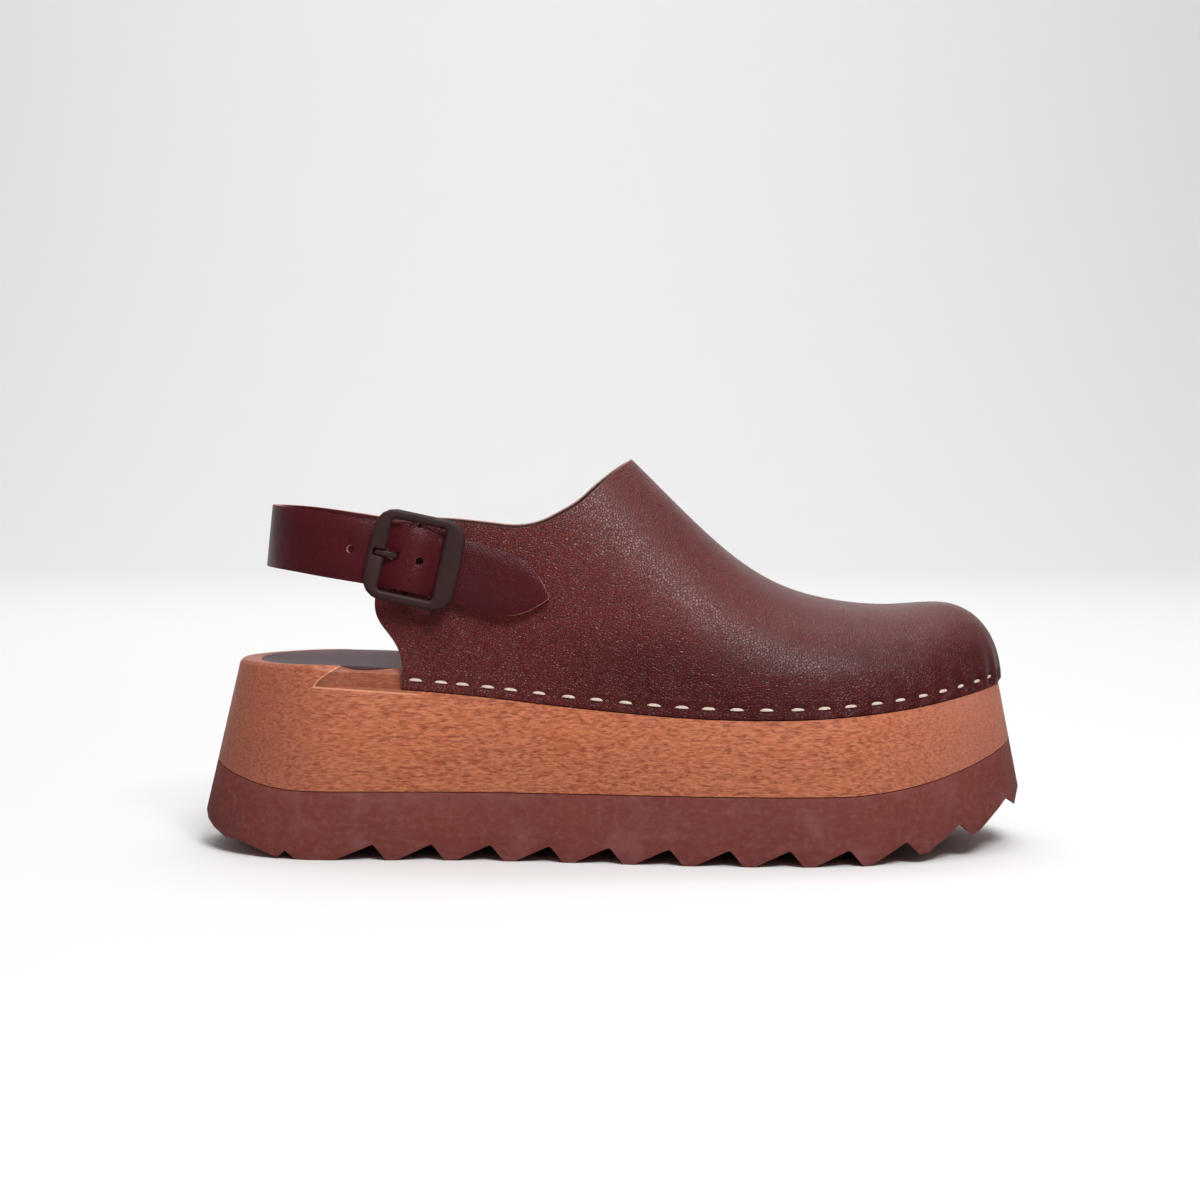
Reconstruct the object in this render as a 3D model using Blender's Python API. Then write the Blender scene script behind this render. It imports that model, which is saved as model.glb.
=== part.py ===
"""Right-foot clog with a high wooden sole, a one-piece leather upper and a buckled heel strap.

The toe points along +X, the inner side of the foot is +Y and Z is up. Lengths are metres.
Work is done with X measured from the back of the heel and Y from the foot's own middle line,
and every mesh is moved at the end, so that the origin lies under the middle of the shoe.
"""

import math

import bmesh
import bpy
import numpy as np

# Driving sizes of the sole
SOLE_LENGTH = 0.270
BALL_WIDTH = 0.0925
HEEL_WIDTH = 0.0645
HEEL_HEIGHT = 0.061
PLATFORM_HEIGHT = 0.0513
TOE_LIFT = 0.0085
ARCH_LIFT = 0.0018
SWAY = 0.0055
RUBBER_HEIGHT = 0.0215
HEEL_SPRING = 0.0085
HEEL_SPRING_LENGTH = 0.034
TOE_SPRING = 0.0150
TOE_SPRING_LENGTH = 0.066
SPRING_POWER = 1.8

# How the sides of the sole lean outwards on their way down
SIDE_FLARE = math.radians(5.6)
HEEL_FLARE = math.radians(13.0)
TOE_FLARE = math.radians(10.6)
EDGE_HEIGHT = 0.0036
EDGE_TUCK = 0.0007
EDGE_TUCK_END = 0.0020
EDGE_DROP = 0.001

# Round ends of the outline, as superellipses
HEEL_ROUND = 0.036
HEEL_POWER = 2.15
TOE_ROUND = 0.063
TOE_POWER = 2.4
END_FADE = 3

# Tread lugs
LUG_PITCH = 0.0186
LUG_DEPTH = 0.0050
FIRST_GAP = 0.0574
HEEL_LUG_LENGTH = 0.045

# Wood: ledge for the leather, rim and footbed
RABBET_HEIGHT = 0.0064
RABBET_DEPTH = 0.0020
TOE_GATHER = 0.0013
RABBET_START = 0.0360
RABBET_RUNOUT = 0.0170
RABBET_LEAD = 0.0010
RABBET_REACH = 0.0100
RIM_CHAMFER = 0.0020
RIM_ROUND = 0.0010
RIM_ROUND_IN = 0.0008
RIM_SIDE = 0.0026
RIM_HEEL = 0.0070
RIM_FORE = 0.0062
RIM_FORE_START = 0.052
RIM_FORE_END = 0.085
DISH_DEPTH = 0.0026

# Leather parts
SOCK_THICKNESS = 0.0014
LEATHER = 0.0022
GAP = 0.0003
MARGIN = 0.0042
PEAK_HEIGHT = 0.1270
PEAK_AT = 0.1410
TOE_BOX_HEIGHT = 0.0782
TOE_BLUNT = 0.0210
TOE_DOME_POWER = 2.1
RIDGE_SHIFT = 0.0030
WING_HEIGHT = 0.1070
WING_FOOT = 0.0664
WING_SWEEP = 0.0086
COLLAR_PULL = 1.8
WING_SHIFT_SHARE = 0.16

# Heel strap: round the heel, then down over both wings
STRAP_WIDTH = 0.0201
STRAP_THICKNESS = 0.0025
STRAP_HEIGHT = 0.1016
STRAP_DROP = 0.0189
STRAP_BACK = 0.0235
STRAP_LEAN = math.radians(5.4)
STRAP_JOIN = 0.0600
STRAP_END_POWER = 2.15
STRAP_INNER_END = 0.0930
TAIL_TIP = 0.1132
TAIL_TAPER = 0.0165
TAIL_POWER = 0.85
TAIL_BLUNT = 0.05
STRAP_HOLE = 0.0013
STRAP_HOLES_AT = (-0.0203, 0.0017)

# Buckle, in its own directions: along the strap, across it and out from the wing
BUCKLE_AT = 0.0705
FRAME_LENGTH = 0.0294
FRAME_WIDTH = 0.0285
FRAME_THICKNESS = 0.0030
FRAME_RIDE = 0.0005
FRAME_CORNER = 0.0062
FRAME_ARCH = 0.0006
BACK_BAR = 0.0052
FRONT_BAR = 0.0066
OPENING_WIDTH = 0.0233
OPENING_CORNER = 0.0012
FRAME_BEVEL = 0.0007
STRAP_BUMP = 0.0033
BUMP_LENGTH = 0.0090
CENTRE_BAR = 0.0008
CENTRE_BAR_LIFT = 0.0019
CENTRE_BAR_POST = 0.0012
PRONG_WIDTH = 0.0019
PRONG_REACH = 0.0121
HOOK_RADIUS = 0.00112
HOOK_HALF = 0.00025
HOOK_TURN = (math.radians(-110.0), math.radians(135.0))
PRONG_NOTCH = 0.0016
NOTCH_LENGTH = 0.0046
SLOT_LENGTH = 0.0024
SLOT_WIDTH = 0.0015
SLOT_AT = -0.0062
SLOT_SLANT = -0.65

# Rivet at the strap's inner end
RIVET_INSET = 0.0090
RIVET_HEAD = 0.0040
RIVET_DOME = 0.0012
RIVET_SHANK = 0.0012

# Fineness of the meshes
RING_STEPS = 46
RIB_ROWS = 14
RIB_CROWDING = 1.35
DENSE = 720
RUNOUT_STEPS = 9
STRAP_STEPS = 84
STRAP_ROWS = (-1.0, -0.5, 0.0, 0.5, 1.0)
ROUND_SIDES = 12
CORNER_STEPS = 5
HOOK_STEPS = 9
DISH_COLUMNS = (-0.82, -0.45, 0.0, 0.45, 0.82)
STRAP_PROBE = 0.001

LATERAL = -1.0
MEDIAL = 1.0

# Plan of the rim: fullness goes from the heel's width (0) to the ball's width (1)
PLAN = (
    ("at", "fullness", "sway"),
    (0.00, -0.08, 0.00),
    (0.12, 0.00, 0.00),
    (0.30, -0.05, -0.25),
    (0.45, 0.16, -0.60),
    (0.60, 0.68, -0.40),
    (0.72, 0.98, 0.05),
    (0.85, 0.85, 0.55),
    (1.00, 0.30, 1.00),
)

# Rim height: heel goes from the platform (0) to the heel's height (1), toe and arch add their lifts
RIM = (
    ("at", "heel", "toe", "arch"),
    (0.00, 1.00, 0.00, 0.00),
    (0.15, 0.97, 0.00, 0.25),
    (0.30, 0.69, 0.00, 1.00),
    (0.45, 0.29, 0.00, 0.80),
    (0.60, 0.02, 0.00, 0.15),
    (0.73, 0.00, 0.02, 0.00),
    (0.85, 0.00, 0.30, 0.00),
    (1.00, 0.00, 1.00, 0.00),
)

# Ridge of the last from above the heel to the toe: 0 is the toe box, 1 is the peak of the vamp
RIDGE = (
    ("at", "height", "power"),
    (0.00, 2.08, 2.00),
    (0.20, 2.00, 2.00),
    (0.351, 1.68, 2.00),
    (0.4315, 1.39, 2.00),
    (0.5175, 1.00, 2.00),
    (0.5835, 0.66, 2.03),
    (0.636, 0.405, 2.10),
    (0.6885, 0.205, 2.15),
    (0.742, 0.083, 2.18),
    (0.796, 0.027, 2.20),
    (0.877, 0.00, 2.20),
    (0.927, 0.034, 2.15),
    (1.00, 0.06, 2.10),
)

# Top line of the upper from the wing's back corner to the peak
COLLAR = (
    ("at", "height"),
    (0.00, 0.00),
    (0.245, 0.00),
    (0.40, -0.06),
    (0.555, -0.11),
    (0.63, -0.045),
    (0.71, 0.12),
    (0.785, 0.30),
    (0.866, 0.60),
    (0.95, 0.87),
    (1.00, 1.00),
)

# Back edge of a wing, from its foot on the ledge to its top corner
WING_EDGE = (
    ("at", "back"),
    (0.00, 0.00),
    (0.16, 0.00),
    (0.25, 0.15),
    (0.335, 0.49),
    (0.405, 0.88),
    (0.465, 1.01),
    (0.58, 0.97),
    (1.00, 0.75),
)

# Heel end of the tread line: at is a share of the heel lug's length, cut a share of the lugs' depth
HEEL_TREAD = (
    ("at", "cut"),
    (-0.40, 0.00),
    (0.20, 0.00),
    (0.33, 0.32),
    (0.60, 0.00),
    (0.655, 0.50),
    (0.74, 0.00),
    (1.00, 0.00),
)

# One lug, from the gap before it to the gap after it
LUG = (
    ("at", "cut"),
    (0.00, 1.00),
    (0.05, 0.84),
    (0.235, 0.00),
    (0.40, 0.00),
    (0.93, 0.92),
)

# Fall of the strap's middle line from the back of the heel to the tip of its tail
STRAP_LINE = (
    ("at", "drop"),
    (0.00, 0.00),
    (0.10, 0.05),
    (0.25, 0.16),
    (0.36, 0.245),
    (0.52, 0.385),
    (0.68, 0.57),
    (0.85, 0.80),
    (1.00, 1.00),
)

# The prong beyond its hook, from the centre bar out to its tip: distances are shares of its reach
PRONG = (
    ("along", "out", "half"),
    (0.17, 0.03, 0.033),
    (0.28, 0.02, 0.045),
    (0.37, 0.08, 0.050),
    (0.47, 0.18, 0.050),
    (0.57, 0.24, 0.050),
    (0.70, 0.26, 0.050),
    (0.94, 0.264, 0.048),
    (0.99, 0.264, 0.036),
    (1.00, 0.264, 0.015),
)

# Section of the prong: across is a share of half its width, thick of half its height
PRONG_SECTION = (
    ("across", "thick"),
    (-1.0, -0.5),
    (-0.6, -1.0),
    (0.6, -1.0),
    (1.0, -0.5),
    (1.0, 0.5),
    (0.6, 1.0),
    (-0.6, 1.0),
    (-1.0, 0.5),
)

# Dome of the rivet's head, from its edge to its top
RIVET_DOME_LINE = (
    ("radius", "rise"),
    (1.00, 0.00),
    (1.00, 0.30),
    (0.75, 0.80),
    (0.35, 1.00),
)

# Quads of the centre bar's channel section: one post, the bar and the other post
BAR_FACES = ((0, 1, 6, 7), (1, 2, 5, 6), (2, 3, 4, 5))


def column(table, name):
    """One named column of a table, whose first row holds the names."""
    place = table[0].index(name)
    return np.array([row[place] for row in table[1:]], dtype=float)


def read(table, name, at):
    """A smooth curve through a table's column, read at any share."""
    knots = column(table, "at")
    values = column(table, name)
    slopes = np.gradient(values, knots)
    at = np.clip(at, knots[0], knots[-1])
    left = np.clip(np.searchsorted(knots, at, side="right") - 1, 0, len(knots) - 2)
    span = knots[left + 1] - knots[left]
    t = (at - knots[left]) / span
    rise = values[left] * (1 + 2 * t) * (1 - t) ** 2 + values[left + 1] * t**2 * (3 - 2 * t)
    return rise + span * (slopes[left] * t * (1 - t) ** 2 - slopes[left + 1] * t**2 * (1 - t))


def round_end(share, power):
    """1 before the end's rounding starts, falling to 0 at the tip as a superellipse."""
    return (1.0 - np.clip(share, 0.0, 1.0) ** power) ** (1.0 / power)


def ease(share):
    """A soft step from 0 to 1."""
    share = np.clip(share, 0.0, 1.0)
    return share * share * (3.0 - 2.0 * share)


def along(points):
    """Running length of a chain of points."""
    steps = np.linalg.norm(np.diff(points, axis=0), axis=1)
    return np.concatenate(([0.0], np.cumsum(steps)))


def at_lengths(points, lengths):
    """Points of a chain at the given running lengths."""
    run = along(points)
    return np.column_stack([np.interp(lengths, run, points[:, axis]) for axis in range(points.shape[1])])


# Ends of the rim's plan, set in from the sole's ends by the flare
RIM_START = (HEEL_HEIGHT - EDGE_HEIGHT - HEEL_SPRING) * math.tan(HEEL_FLARE)
RIM_TIP = SOLE_LENGTH - (PLATFORM_HEIGHT + TOE_LIFT - EDGE_HEIGHT - TOE_SPRING) * math.tan(TOE_FLARE)
RIM_LENGTH = RIM_TIP - RIM_START


def rim_share(x):
    return (x - RIM_START) / RIM_LENGTH


def spring(x):
    """Height of the tread plane over the floor: heel and toe curve up."""
    heel = np.clip((HEEL_SPRING_LENGTH - x) / HEEL_SPRING_LENGTH, 0.0, None)
    toe = np.clip((x - SOLE_LENGTH + TOE_SPRING_LENGTH) / TOE_SPRING_LENGTH, 0.0, None)
    return HEEL_SPRING * heel**SPRING_POWER + TOE_SPRING * toe**SPRING_POWER


def rim_height(x, side):
    """Height of the wood's top edge; the inner side rises at the arch."""
    share = rim_share(x)
    height = PLATFORM_HEIGHT + (HEEL_HEIGHT - PLATFORM_HEIGHT) * read(RIM, "heel", share)
    inner = (1.0 + side) / 2.0
    return height + TOE_LIFT * read(RIM, "toe", share) + inner * ARCH_LIFT * read(RIM, "arch", share)


def ledge_height(x, side):
    return rim_height(x, side) - RABBET_HEIGHT


def rim_side(side):
    """Plan of the rim on one side, from the heel's tip to the toe's tip."""
    share = (1.0 - np.cos(np.linspace(0.0, math.pi, DENSE))) / 2.0
    x = RIM_START + RIM_LENGTH * share
    width = HEEL_WIDTH + (BALL_WIDTH - HEEL_WIDTH) * read(PLAN, "fullness", share)
    heel = round_end((RIM_START + HEEL_ROUND - x) / HEEL_ROUND, HEEL_POWER)
    toe = round_end((x - RIM_TIP + TOE_ROUND) / TOE_ROUND, TOE_POWER)
    middle = SWAY * read(PLAN, "sway", share)
    return np.column_stack((x, middle + side * width / 2.0 * heel * toe))


def outward(loop):
    """Outward normals of a closed plan loop that runs anticlockwise."""
    step = np.roll(loop, -1, axis=0) - np.roll(loop, 1, axis=0)
    step /= np.linalg.norm(step, axis=1)[:, None]
    return np.column_stack((step[:, 1], -step[:, 0]))


def close_loop(lateral, medial):
    """Outer side from heel to toe, then the inner side back to the heel."""
    return np.vstack((lateral, medial[-2:0:-1]))


DENSE_LATERAL = rim_side(LATERAL)
DENSE_MEDIAL = rim_side(MEDIAL)
DENSE_LOOP = close_loop(DENSE_LATERAL, DENSE_MEDIAL)
DENSE_NORMALS = outward(DENSE_LOOP)


def ring_of(points_of_loop):
    """The same evenly spaced places round the loop, read from any array that runs along it."""
    sides = []
    for first, dense in ((0, DENSE_LATERAL), (DENSE - 1, DENSE_MEDIAL[::-1])):
        run = along(dense)
        picks = np.linspace(0.0, run[-1], RING_STEPS + 1)
        rows = (first + np.arange(DENSE)) % len(DENSE_LOOP)
        values = points_of_loop[rows]
        sides.append(np.column_stack([np.interp(picks, run, values[:, axis]) for axis in range(2)]))
    return np.vstack((sides[0], sides[1][1:-1]))


RING = ring_of(DENSE_LOOP)
RING_NORMALS = ring_of(DENSE_NORMALS)
RING_NORMALS /= np.linalg.norm(RING_NORMALS, axis=1)[:, None]
RING_SIDES = np.where(np.arange(len(RING)) <= RING_STEPS, LATERAL, MEDIAL)
TOE_INDEX = RING_STEPS


def toe_gather(normals):
    """How far the gathered leather stands out at the toe, where the ledge is milled less deep."""
    return TOE_GATHER * np.clip(normals[..., 0], 0.0, 1.0) ** 2


def flare_slope(normals):
    """Outward lean of the sole's side, larger at the heel and at the toe."""
    back = np.clip(-normals[:, 0], 0.0, 1.0) ** 2
    front = np.clip(normals[:, 0], 0.0, 1.0) ** 2
    side = math.tan(SIDE_FLARE)
    return side + (math.tan(HEEL_FLARE) - side) * back + (math.tan(TOE_FLARE) - side) * front


def shifted(distance):
    """The rim's ring moved outwards."""
    return RING + RING_NORMALS * np.reshape(distance, (-1, 1))


def flared(height_of, tuck=0.0):
    """Ring of the sole's side at a height that is a function of x, with that height."""
    ring = RING
    for _ in range(4):
        drop = rim_height(RING[:, 0], RING_SIDES) - height_of(ring[:, 0])
        ring = shifted(drop * flare_slope(RING_NORMALS) - tuck)
    return np.column_stack((ring, height_of(ring[:, 0])))


def middle_shift():
    """Moves the middle of the sole's plan to the origin."""
    edge = flared(lambda x: spring(x) + EDGE_HEIGHT)
    return np.array((-SOLE_LENGTH / 2.0, -(edge[:, 1].min() + edge[:, 1].max()) / 2.0, 0.0))


SHIFT = middle_shift()


def material(name, colour, roughness, metallic=0.0):
    """Plain Principled material."""
    found = bpy.data.materials.new(name)
    found.use_nodes = True
    shader = found.node_tree.nodes["Principled BSDF"]
    shader.inputs["Base Color"].default_value = (*colour, 1.0)
    shader.inputs["Roughness"].default_value = roughness
    shader.inputs["Metallic"].default_value = metallic
    return found


def add_rows(bm, rows):
    """Adds rows of points and gives the rows of their vertices."""
    return [[bm.verts.new(tuple(point + SHIFT)) for point in row] for row in rows]


def weave(bm, rows, closed):
    """Quads between neighbouring rows of vertices."""
    for lower, upper in zip(rows, rows[1:]):
        count = len(lower) if closed else len(lower) - 1
        for i in range(count):
            j = (i + 1) % len(lower)
            bm.faces.new((lower[i], lower[j], upper[j], upper[i]))


def cap(bm, ring, inner_rows=()):
    """Closes a ring across its width; inner_rows holds the vertices inside each station."""
    last = RING_STEPS
    stations = [[ring[0]]]
    for i in range(1, last):
        inside = list(inner_rows[i - 1]) if len(inner_rows) else []
        stations.append([ring[i], *inside, ring[len(ring) - i]])
    stations.append([ring[last]])
    for row, following in zip(stations, stations[1:]):
        if len(row) == 1:
            for a, b in zip(following, following[1:]):
                bm.faces.new((row[0], a, b))
        elif len(following) == 1:
            for a, b in zip(row, row[1:]):
                bm.faces.new((following[0], b, a))
        else:
            for k in range(len(row) - 1):
                bm.faces.new((row[k], following[k], following[k + 1], row[k + 1]))


def finish(name, bm, look, smooth_angle=40.0):
    """Turns a closed bmesh into a named object, smooth but for its edges."""
    bmesh.ops.triangulate(bm, faces=bm.faces[:])
    bmesh.ops.recalc_face_normals(bm, faces=bm.faces[:])
    mesh = bpy.data.meshes.new(name)
    bm.to_mesh(mesh)
    bm.free()
    mesh.shade_smooth()
    mesh.set_sharp_from_angle(angle=math.radians(smooth_angle))
    obj = bpy.data.objects.new(name, mesh)
    bpy.context.scene.collection.objects.link(obj)
    if look:
        mesh.materials.append(look)
    return obj


def cut(obj, cutter):
    """Subtracts a guide, which stays out of the render."""
    cutter.hide_render = True
    cutter.display_type = "WIRE"
    step = obj.modifiers.new("cut_" + cutter.name, "BOOLEAN")
    step.operation = "DIFFERENCE"
    step.object = cutter


def dished(ring):
    """Points inside a ring at each station, sinking towards the middle of the footbed."""
    rows = []
    for i in range(1, RING_STEPS):
        near, far = ring[i], ring[len(ring) - i]
        width = np.linalg.norm(far - near)
        depth = DISH_DEPTH * ease(width / HEEL_WIDTH)
        row = []
        for share in DISH_COLUMNS:
            point = near + (far - near) * (share + 1.0) / 2.0
            row.append(point - np.array((0.0, 0.0, depth * (1.0 - share * share))))
        rows.append(row)
    return rows


def wood_bottom(x):
    return spring(x) + RUBBER_HEIGHT


def rubber_top(x):
    return wood_bottom(x) - GAP


def tread_points():
    """The tread's line from heel to toe, as x and height."""
    heel = zip(column(HEEL_TREAD, "at"), column(HEEL_TREAD, "cut"))
    points = [(at * HEEL_LUG_LENGTH, share) for at, share in heel]
    start = FIRST_GAP
    while start < SOLE_LENGTH:
        for at, share in zip(column(LUG, "at"), column(LUG, "cut")):
            points.append((start + at * LUG_PITCH, share))
        start += LUG_PITCH
    points = [point for point in points if point[0] < SOLE_LENGTH - EDGE_TUCK_END]
    points.append((SOLE_LENGTH + LUG_PITCH, 0.0))
    return [(x, float(spring(x)) + LUG_DEPTH * share) for x, share in points]


def make_outsole():
    """Flared rubber block with its lugs cut across."""
    look = material("brown_rubber", (0.16, 0.055, 0.045), 0.6)
    bm = bmesh.new()
    tuck = EDGE_TUCK + (EDGE_TUCK_END - EDGE_TUCK) * np.abs(RING_NORMALS[:, 0]) ** END_FADE
    rows = add_rows(bm, (
        flared(rubber_top),
        flared(lambda x: spring(x) + EDGE_HEIGHT),
        flared(lambda x: spring(x) - EDGE_DROP, tuck=tuck),
    ))
    weave(bm, rows, closed=True)
    cap(bm, rows[0])
    cap(bm, rows[-1])
    outsole = finish("outsole", bm, look, smooth_angle=25.0)
    cutter_bm = bmesh.new()
    line = tread_points()
    under = -SOLE_LENGTH / 10.0
    profile = [(line[0][0], under), *line, (line[-1][0], under)]
    walls = [[np.array((x, side * BALL_WIDTH, z)) for x, z in profile] for side in (LATERAL, MEDIAL)]
    rows = add_rows(cutter_bm, walls)
    weave(cutter_bm, rows, closed=True)
    for row in rows:
        cutter_bm.faces.new(row)
    cut(outsole, finish("tread_cutter", cutter_bm, None))


def recess_inset(extra=0.0):
    """How far the sock's recess lies inside the rim, round the ring."""
    back = np.clip(-RING_NORMALS[:, 0], 0.0, 1.0) ** END_FADE
    fore = ease((RING[:, 0] - RIM_FORE_START) / (RIM_FORE_END - RIM_FORE_START))
    return RIM_SIDE + (RIM_HEEL - RIM_SIDE) * back + (RIM_FORE - RIM_SIDE) * fore + extra


def top_ring(inset, drop):
    """A ring inside the rim at the rim's own height less a drop."""
    ring = shifted(-inset)
    return np.column_stack((ring, rim_height(RING[:, 0], RING_SIDES) - drop))


def ring_place(position):
    """Plan point, normal and side at a fractional place on the ring."""
    low = int(math.floor(position)) % len(RING)
    high = (low + 1) % len(RING)
    t = position - math.floor(position)
    point = RING[low] * (1 - t) + RING[high] * t
    normal = RING_NORMALS[low] * (1 - t) + RING_NORMALS[high] * t
    return point, normal / np.linalg.norm(normal)


def position_of(x, side):
    """Fractional place on the ring where one side reaches x."""
    places = np.arange(RING_STEPS + 1)
    if side == LATERAL:
        return float(np.interp(x, RING[places, 0], places))
    back = (len(RING) - places) % len(RING)
    return len(RING) - float(np.interp(x, RING[back, 0], places))


def rabbet_cutter():
    """The strip that is milled off round the forefoot, running out behind the wings."""
    first, last = position_of(RABBET_START, LATERAL), position_of(RABBET_START, MEDIAL)
    full = position_of(RABBET_START + RABBET_RUNOUT, LATERAL) - first
    lead_in = list(np.linspace(first, first + full, RUNOUT_STEPS))
    lead_out = list(np.linspace(last - full, last, RUNOUT_STEPS))
    whole = [k for k in range(len(RING)) if first + full < k < last - full]
    rows = []
    for place in (*lead_in, *whole, *lead_out):
        point, normal = ring_place(place)
        side = LATERAL if place <= TOE_INDEX else MEDIAL
        ramp = ease((point[0] - RABBET_START) / RABBET_RUNOUT)
        depth = (RABBET_DEPTH - toe_gather(normal)) * ramp - RABBET_LEAD * (1.0 - ramp)
        ledge, rim = ledge_height(point[0], side), rim_height(point[0], side)
        section = (
            (-depth, ledge),
            (-depth, rim - RIM_CHAMFER),
            (-depth - RIM_CHAMFER, rim + GAP),
            (RABBET_REACH, rim + GAP),
            (RABBET_REACH, ledge),
        )
        rows.append([np.array((*(point + normal * out), height)) for out, height in section])
    bm = bmesh.new()
    verts = add_rows(bm, rows)
    weave(bm, verts, closed=True)
    for end in (verts[0], verts[-1]):
        bm.faces.new((end[0], end[1], end[3], end[4]))
        bm.faces.new((end[1], end[2], end[3]))
    return finish("rabbet_cutter", bm, None)


def make_wood_sole():
    """Carved sole: flat-sided below, dished above, with the sock's recess and the leather's ledge."""
    look = material("brown_wood", (0.43, 0.13, 0.06), 0.5)
    bm = bmesh.new()
    floor = top_ring(recess_inset(), SOCK_THICKNESS + GAP)
    rows = add_rows(bm, (
        flared(wood_bottom),
        np.column_stack((shifted(RIM_ROUND * flare_slope(RING_NORMALS)),
                         rim_height(RING[:, 0], RING_SIDES) - RIM_ROUND)),
        top_ring(RIM_ROUND_IN, 0.0),
        top_ring(recess_inset(), 0.0),
        floor,
    ))
    weave(bm, rows, closed=True)
    cap(bm, rows[0])
    cap(bm, rows[-1], add_rows(bm, dished(floor)))
    cut(finish("wood_sole", bm, look, smooth_angle=30.0), rabbet_cutter())


def make_insole():
    """Thin leather sock lying in the recess of the footbed."""
    look = material("sock_leather", (0.08, 0.05, 0.06), 0.55)
    bm = bmesh.new()
    inset = recess_inset(GAP)
    lower = top_ring(inset, SOCK_THICKNESS)
    upper = top_ring(inset, 0.0)
    rows = add_rows(bm, (lower, upper))
    weave(bm, rows, closed=True)
    cap(bm, rows[0], add_rows(bm, dished(lower)))
    cap(bm, rows[1], add_rows(bm, dished(upper)))
    finish("insole", bm, look, smooth_angle=30.0)


# The leather's outer face stands this far outside the rim's plan
LEATHER_OUT = LEATHER + GAP - RABBET_DEPTH
SKIN_LOOP = DENSE_LOOP + DENSE_NORMALS * (LEATHER_OUT + toe_gather(DENSE_NORMALS))[:, None]
SKIN_LATERAL = SKIN_LOOP[:DENSE]
SKIN_MEDIAL = SKIN_LOOP[np.r_[0, len(SKIN_LOOP) - 1:DENSE - 2:-1]]
SKIN_TIP = float(SKIN_LATERAL[-1, 0])


def skin_edge(x, side):
    """Where the leather's outer face stands in plan, on one side."""
    dense = SKIN_LATERAL if side == LATERAL else SKIN_MEDIAL
    return np.interp(x, dense[:, 0], dense[:, 1])


def skin_middle(x):
    """Plan line of the ridge, a little to the inner side."""
    low, high = skin_edge(x, LATERAL), skin_edge(x, MEDIAL)
    return (low + high) / 2.0 + RIDGE_SHIFT * (high - low) / BALL_WIDTH


def skin_base(x, side):
    """Top of the leather's upright margin."""
    return ledge_height(x, side) + MARGIN


def skin_ridge(x):
    """Height of the ridge, closed down at the blunt toe."""
    height = TOE_BOX_HEIGHT + (PEAK_HEIGHT - TOE_BOX_HEIGHT) * read(RIDGE, "height", rim_share(x))
    base = skin_base(x, LATERAL)
    return base + (height - base) * round_end((x - SKIN_TIP + TOE_BLUNT) / TOE_BLUNT, TOE_DOME_POWER)


def skin_height(x, y):
    """Height of the leather's outer face over a point of the plan."""
    middle = skin_middle(x)
    low, high = skin_edge(x, LATERAL), skin_edge(x, MEDIAL)
    outer = y < middle
    reach = np.where(outer, middle - low, high - middle)
    share = np.clip(np.abs(y - middle) / np.maximum(reach, 1e-9), 0.0, 1.0)
    base = np.where(outer, skin_base(x, LATERAL), skin_base(x, MEDIAL))
    power = read(RIDGE, "power", rim_share(x))
    return base + (skin_ridge(x) - base) * round_end(share, power)


def skin_side(x, z, side):
    """Plan position of the leather's outer face at a place seen from the side."""
    middle, edge = skin_middle(x), skin_edge(x, side)
    base = skin_base(x, side)
    share = (z - base) / (skin_ridge(x) - base)
    return middle + (edge - middle) * round_end(share, read(RIDGE, "power", rim_share(x)))


def wing_back(z, side):
    """Back edge of a wing at a height."""
    foot = ledge_height(WING_FOOT, side)
    return WING_FOOT - WING_SWEEP * read(WING_EDGE, "back", (z - foot) / (WING_HEIGHT - foot))


def collar_line(side):
    """The upper's top line from a wing's back corner to the peak."""
    share = np.sin(np.linspace(0.0, math.pi / 2.0, DENSE))
    start = wing_back(WING_HEIGHT, side)
    x = start + (PEAK_AT - start) * share
    z = WING_HEIGHT + (PEAK_HEIGHT - WING_HEIGHT) * read(COLLAR, "height", share)
    line = np.column_stack((x, skin_side(x, z, side), z))
    line[-1] = (PEAK_AT, skin_middle(PEAK_AT), skin_ridge(PEAK_AT))
    return line


def rib_rows(foot, head, side, share):
    """Points of the leather's outer face from the top of its margin to the collar."""
    run = np.linspace(0.0, 1.0, DENSE) ** 2
    x = foot[0] + (head[0] - foot[0]) * run
    y = foot[1] + (head[1] - foot[1]) * run
    z = skin_height(x, y)
    z[-1] = head[2]
    line = np.column_stack((x, y, z))
    steps = np.linspace(0.0, 1.0, RIB_ROWS + 1) ** RIB_CROWDING
    rib = at_lengths(line, steps * along(line)[-1])
    weight = (1.0 - ease(share / WING_SHIFT_SHARE)) if share < WING_SHIFT_SHARE else 0.0
    if weight > 0.0:
        corner = wing_back(WING_HEIGHT, side)
        straight = WING_FOOT + (corner - WING_FOOT) * np.interp(rib[:, 2], line[:, 2], run)
        rib[:, 0] += weight * (wing_back(rib[:, 2], side) - straight)
        rib[:, 1] = skin_side(rib[:, 0], rib[:, 2], side)
    return rib


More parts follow.
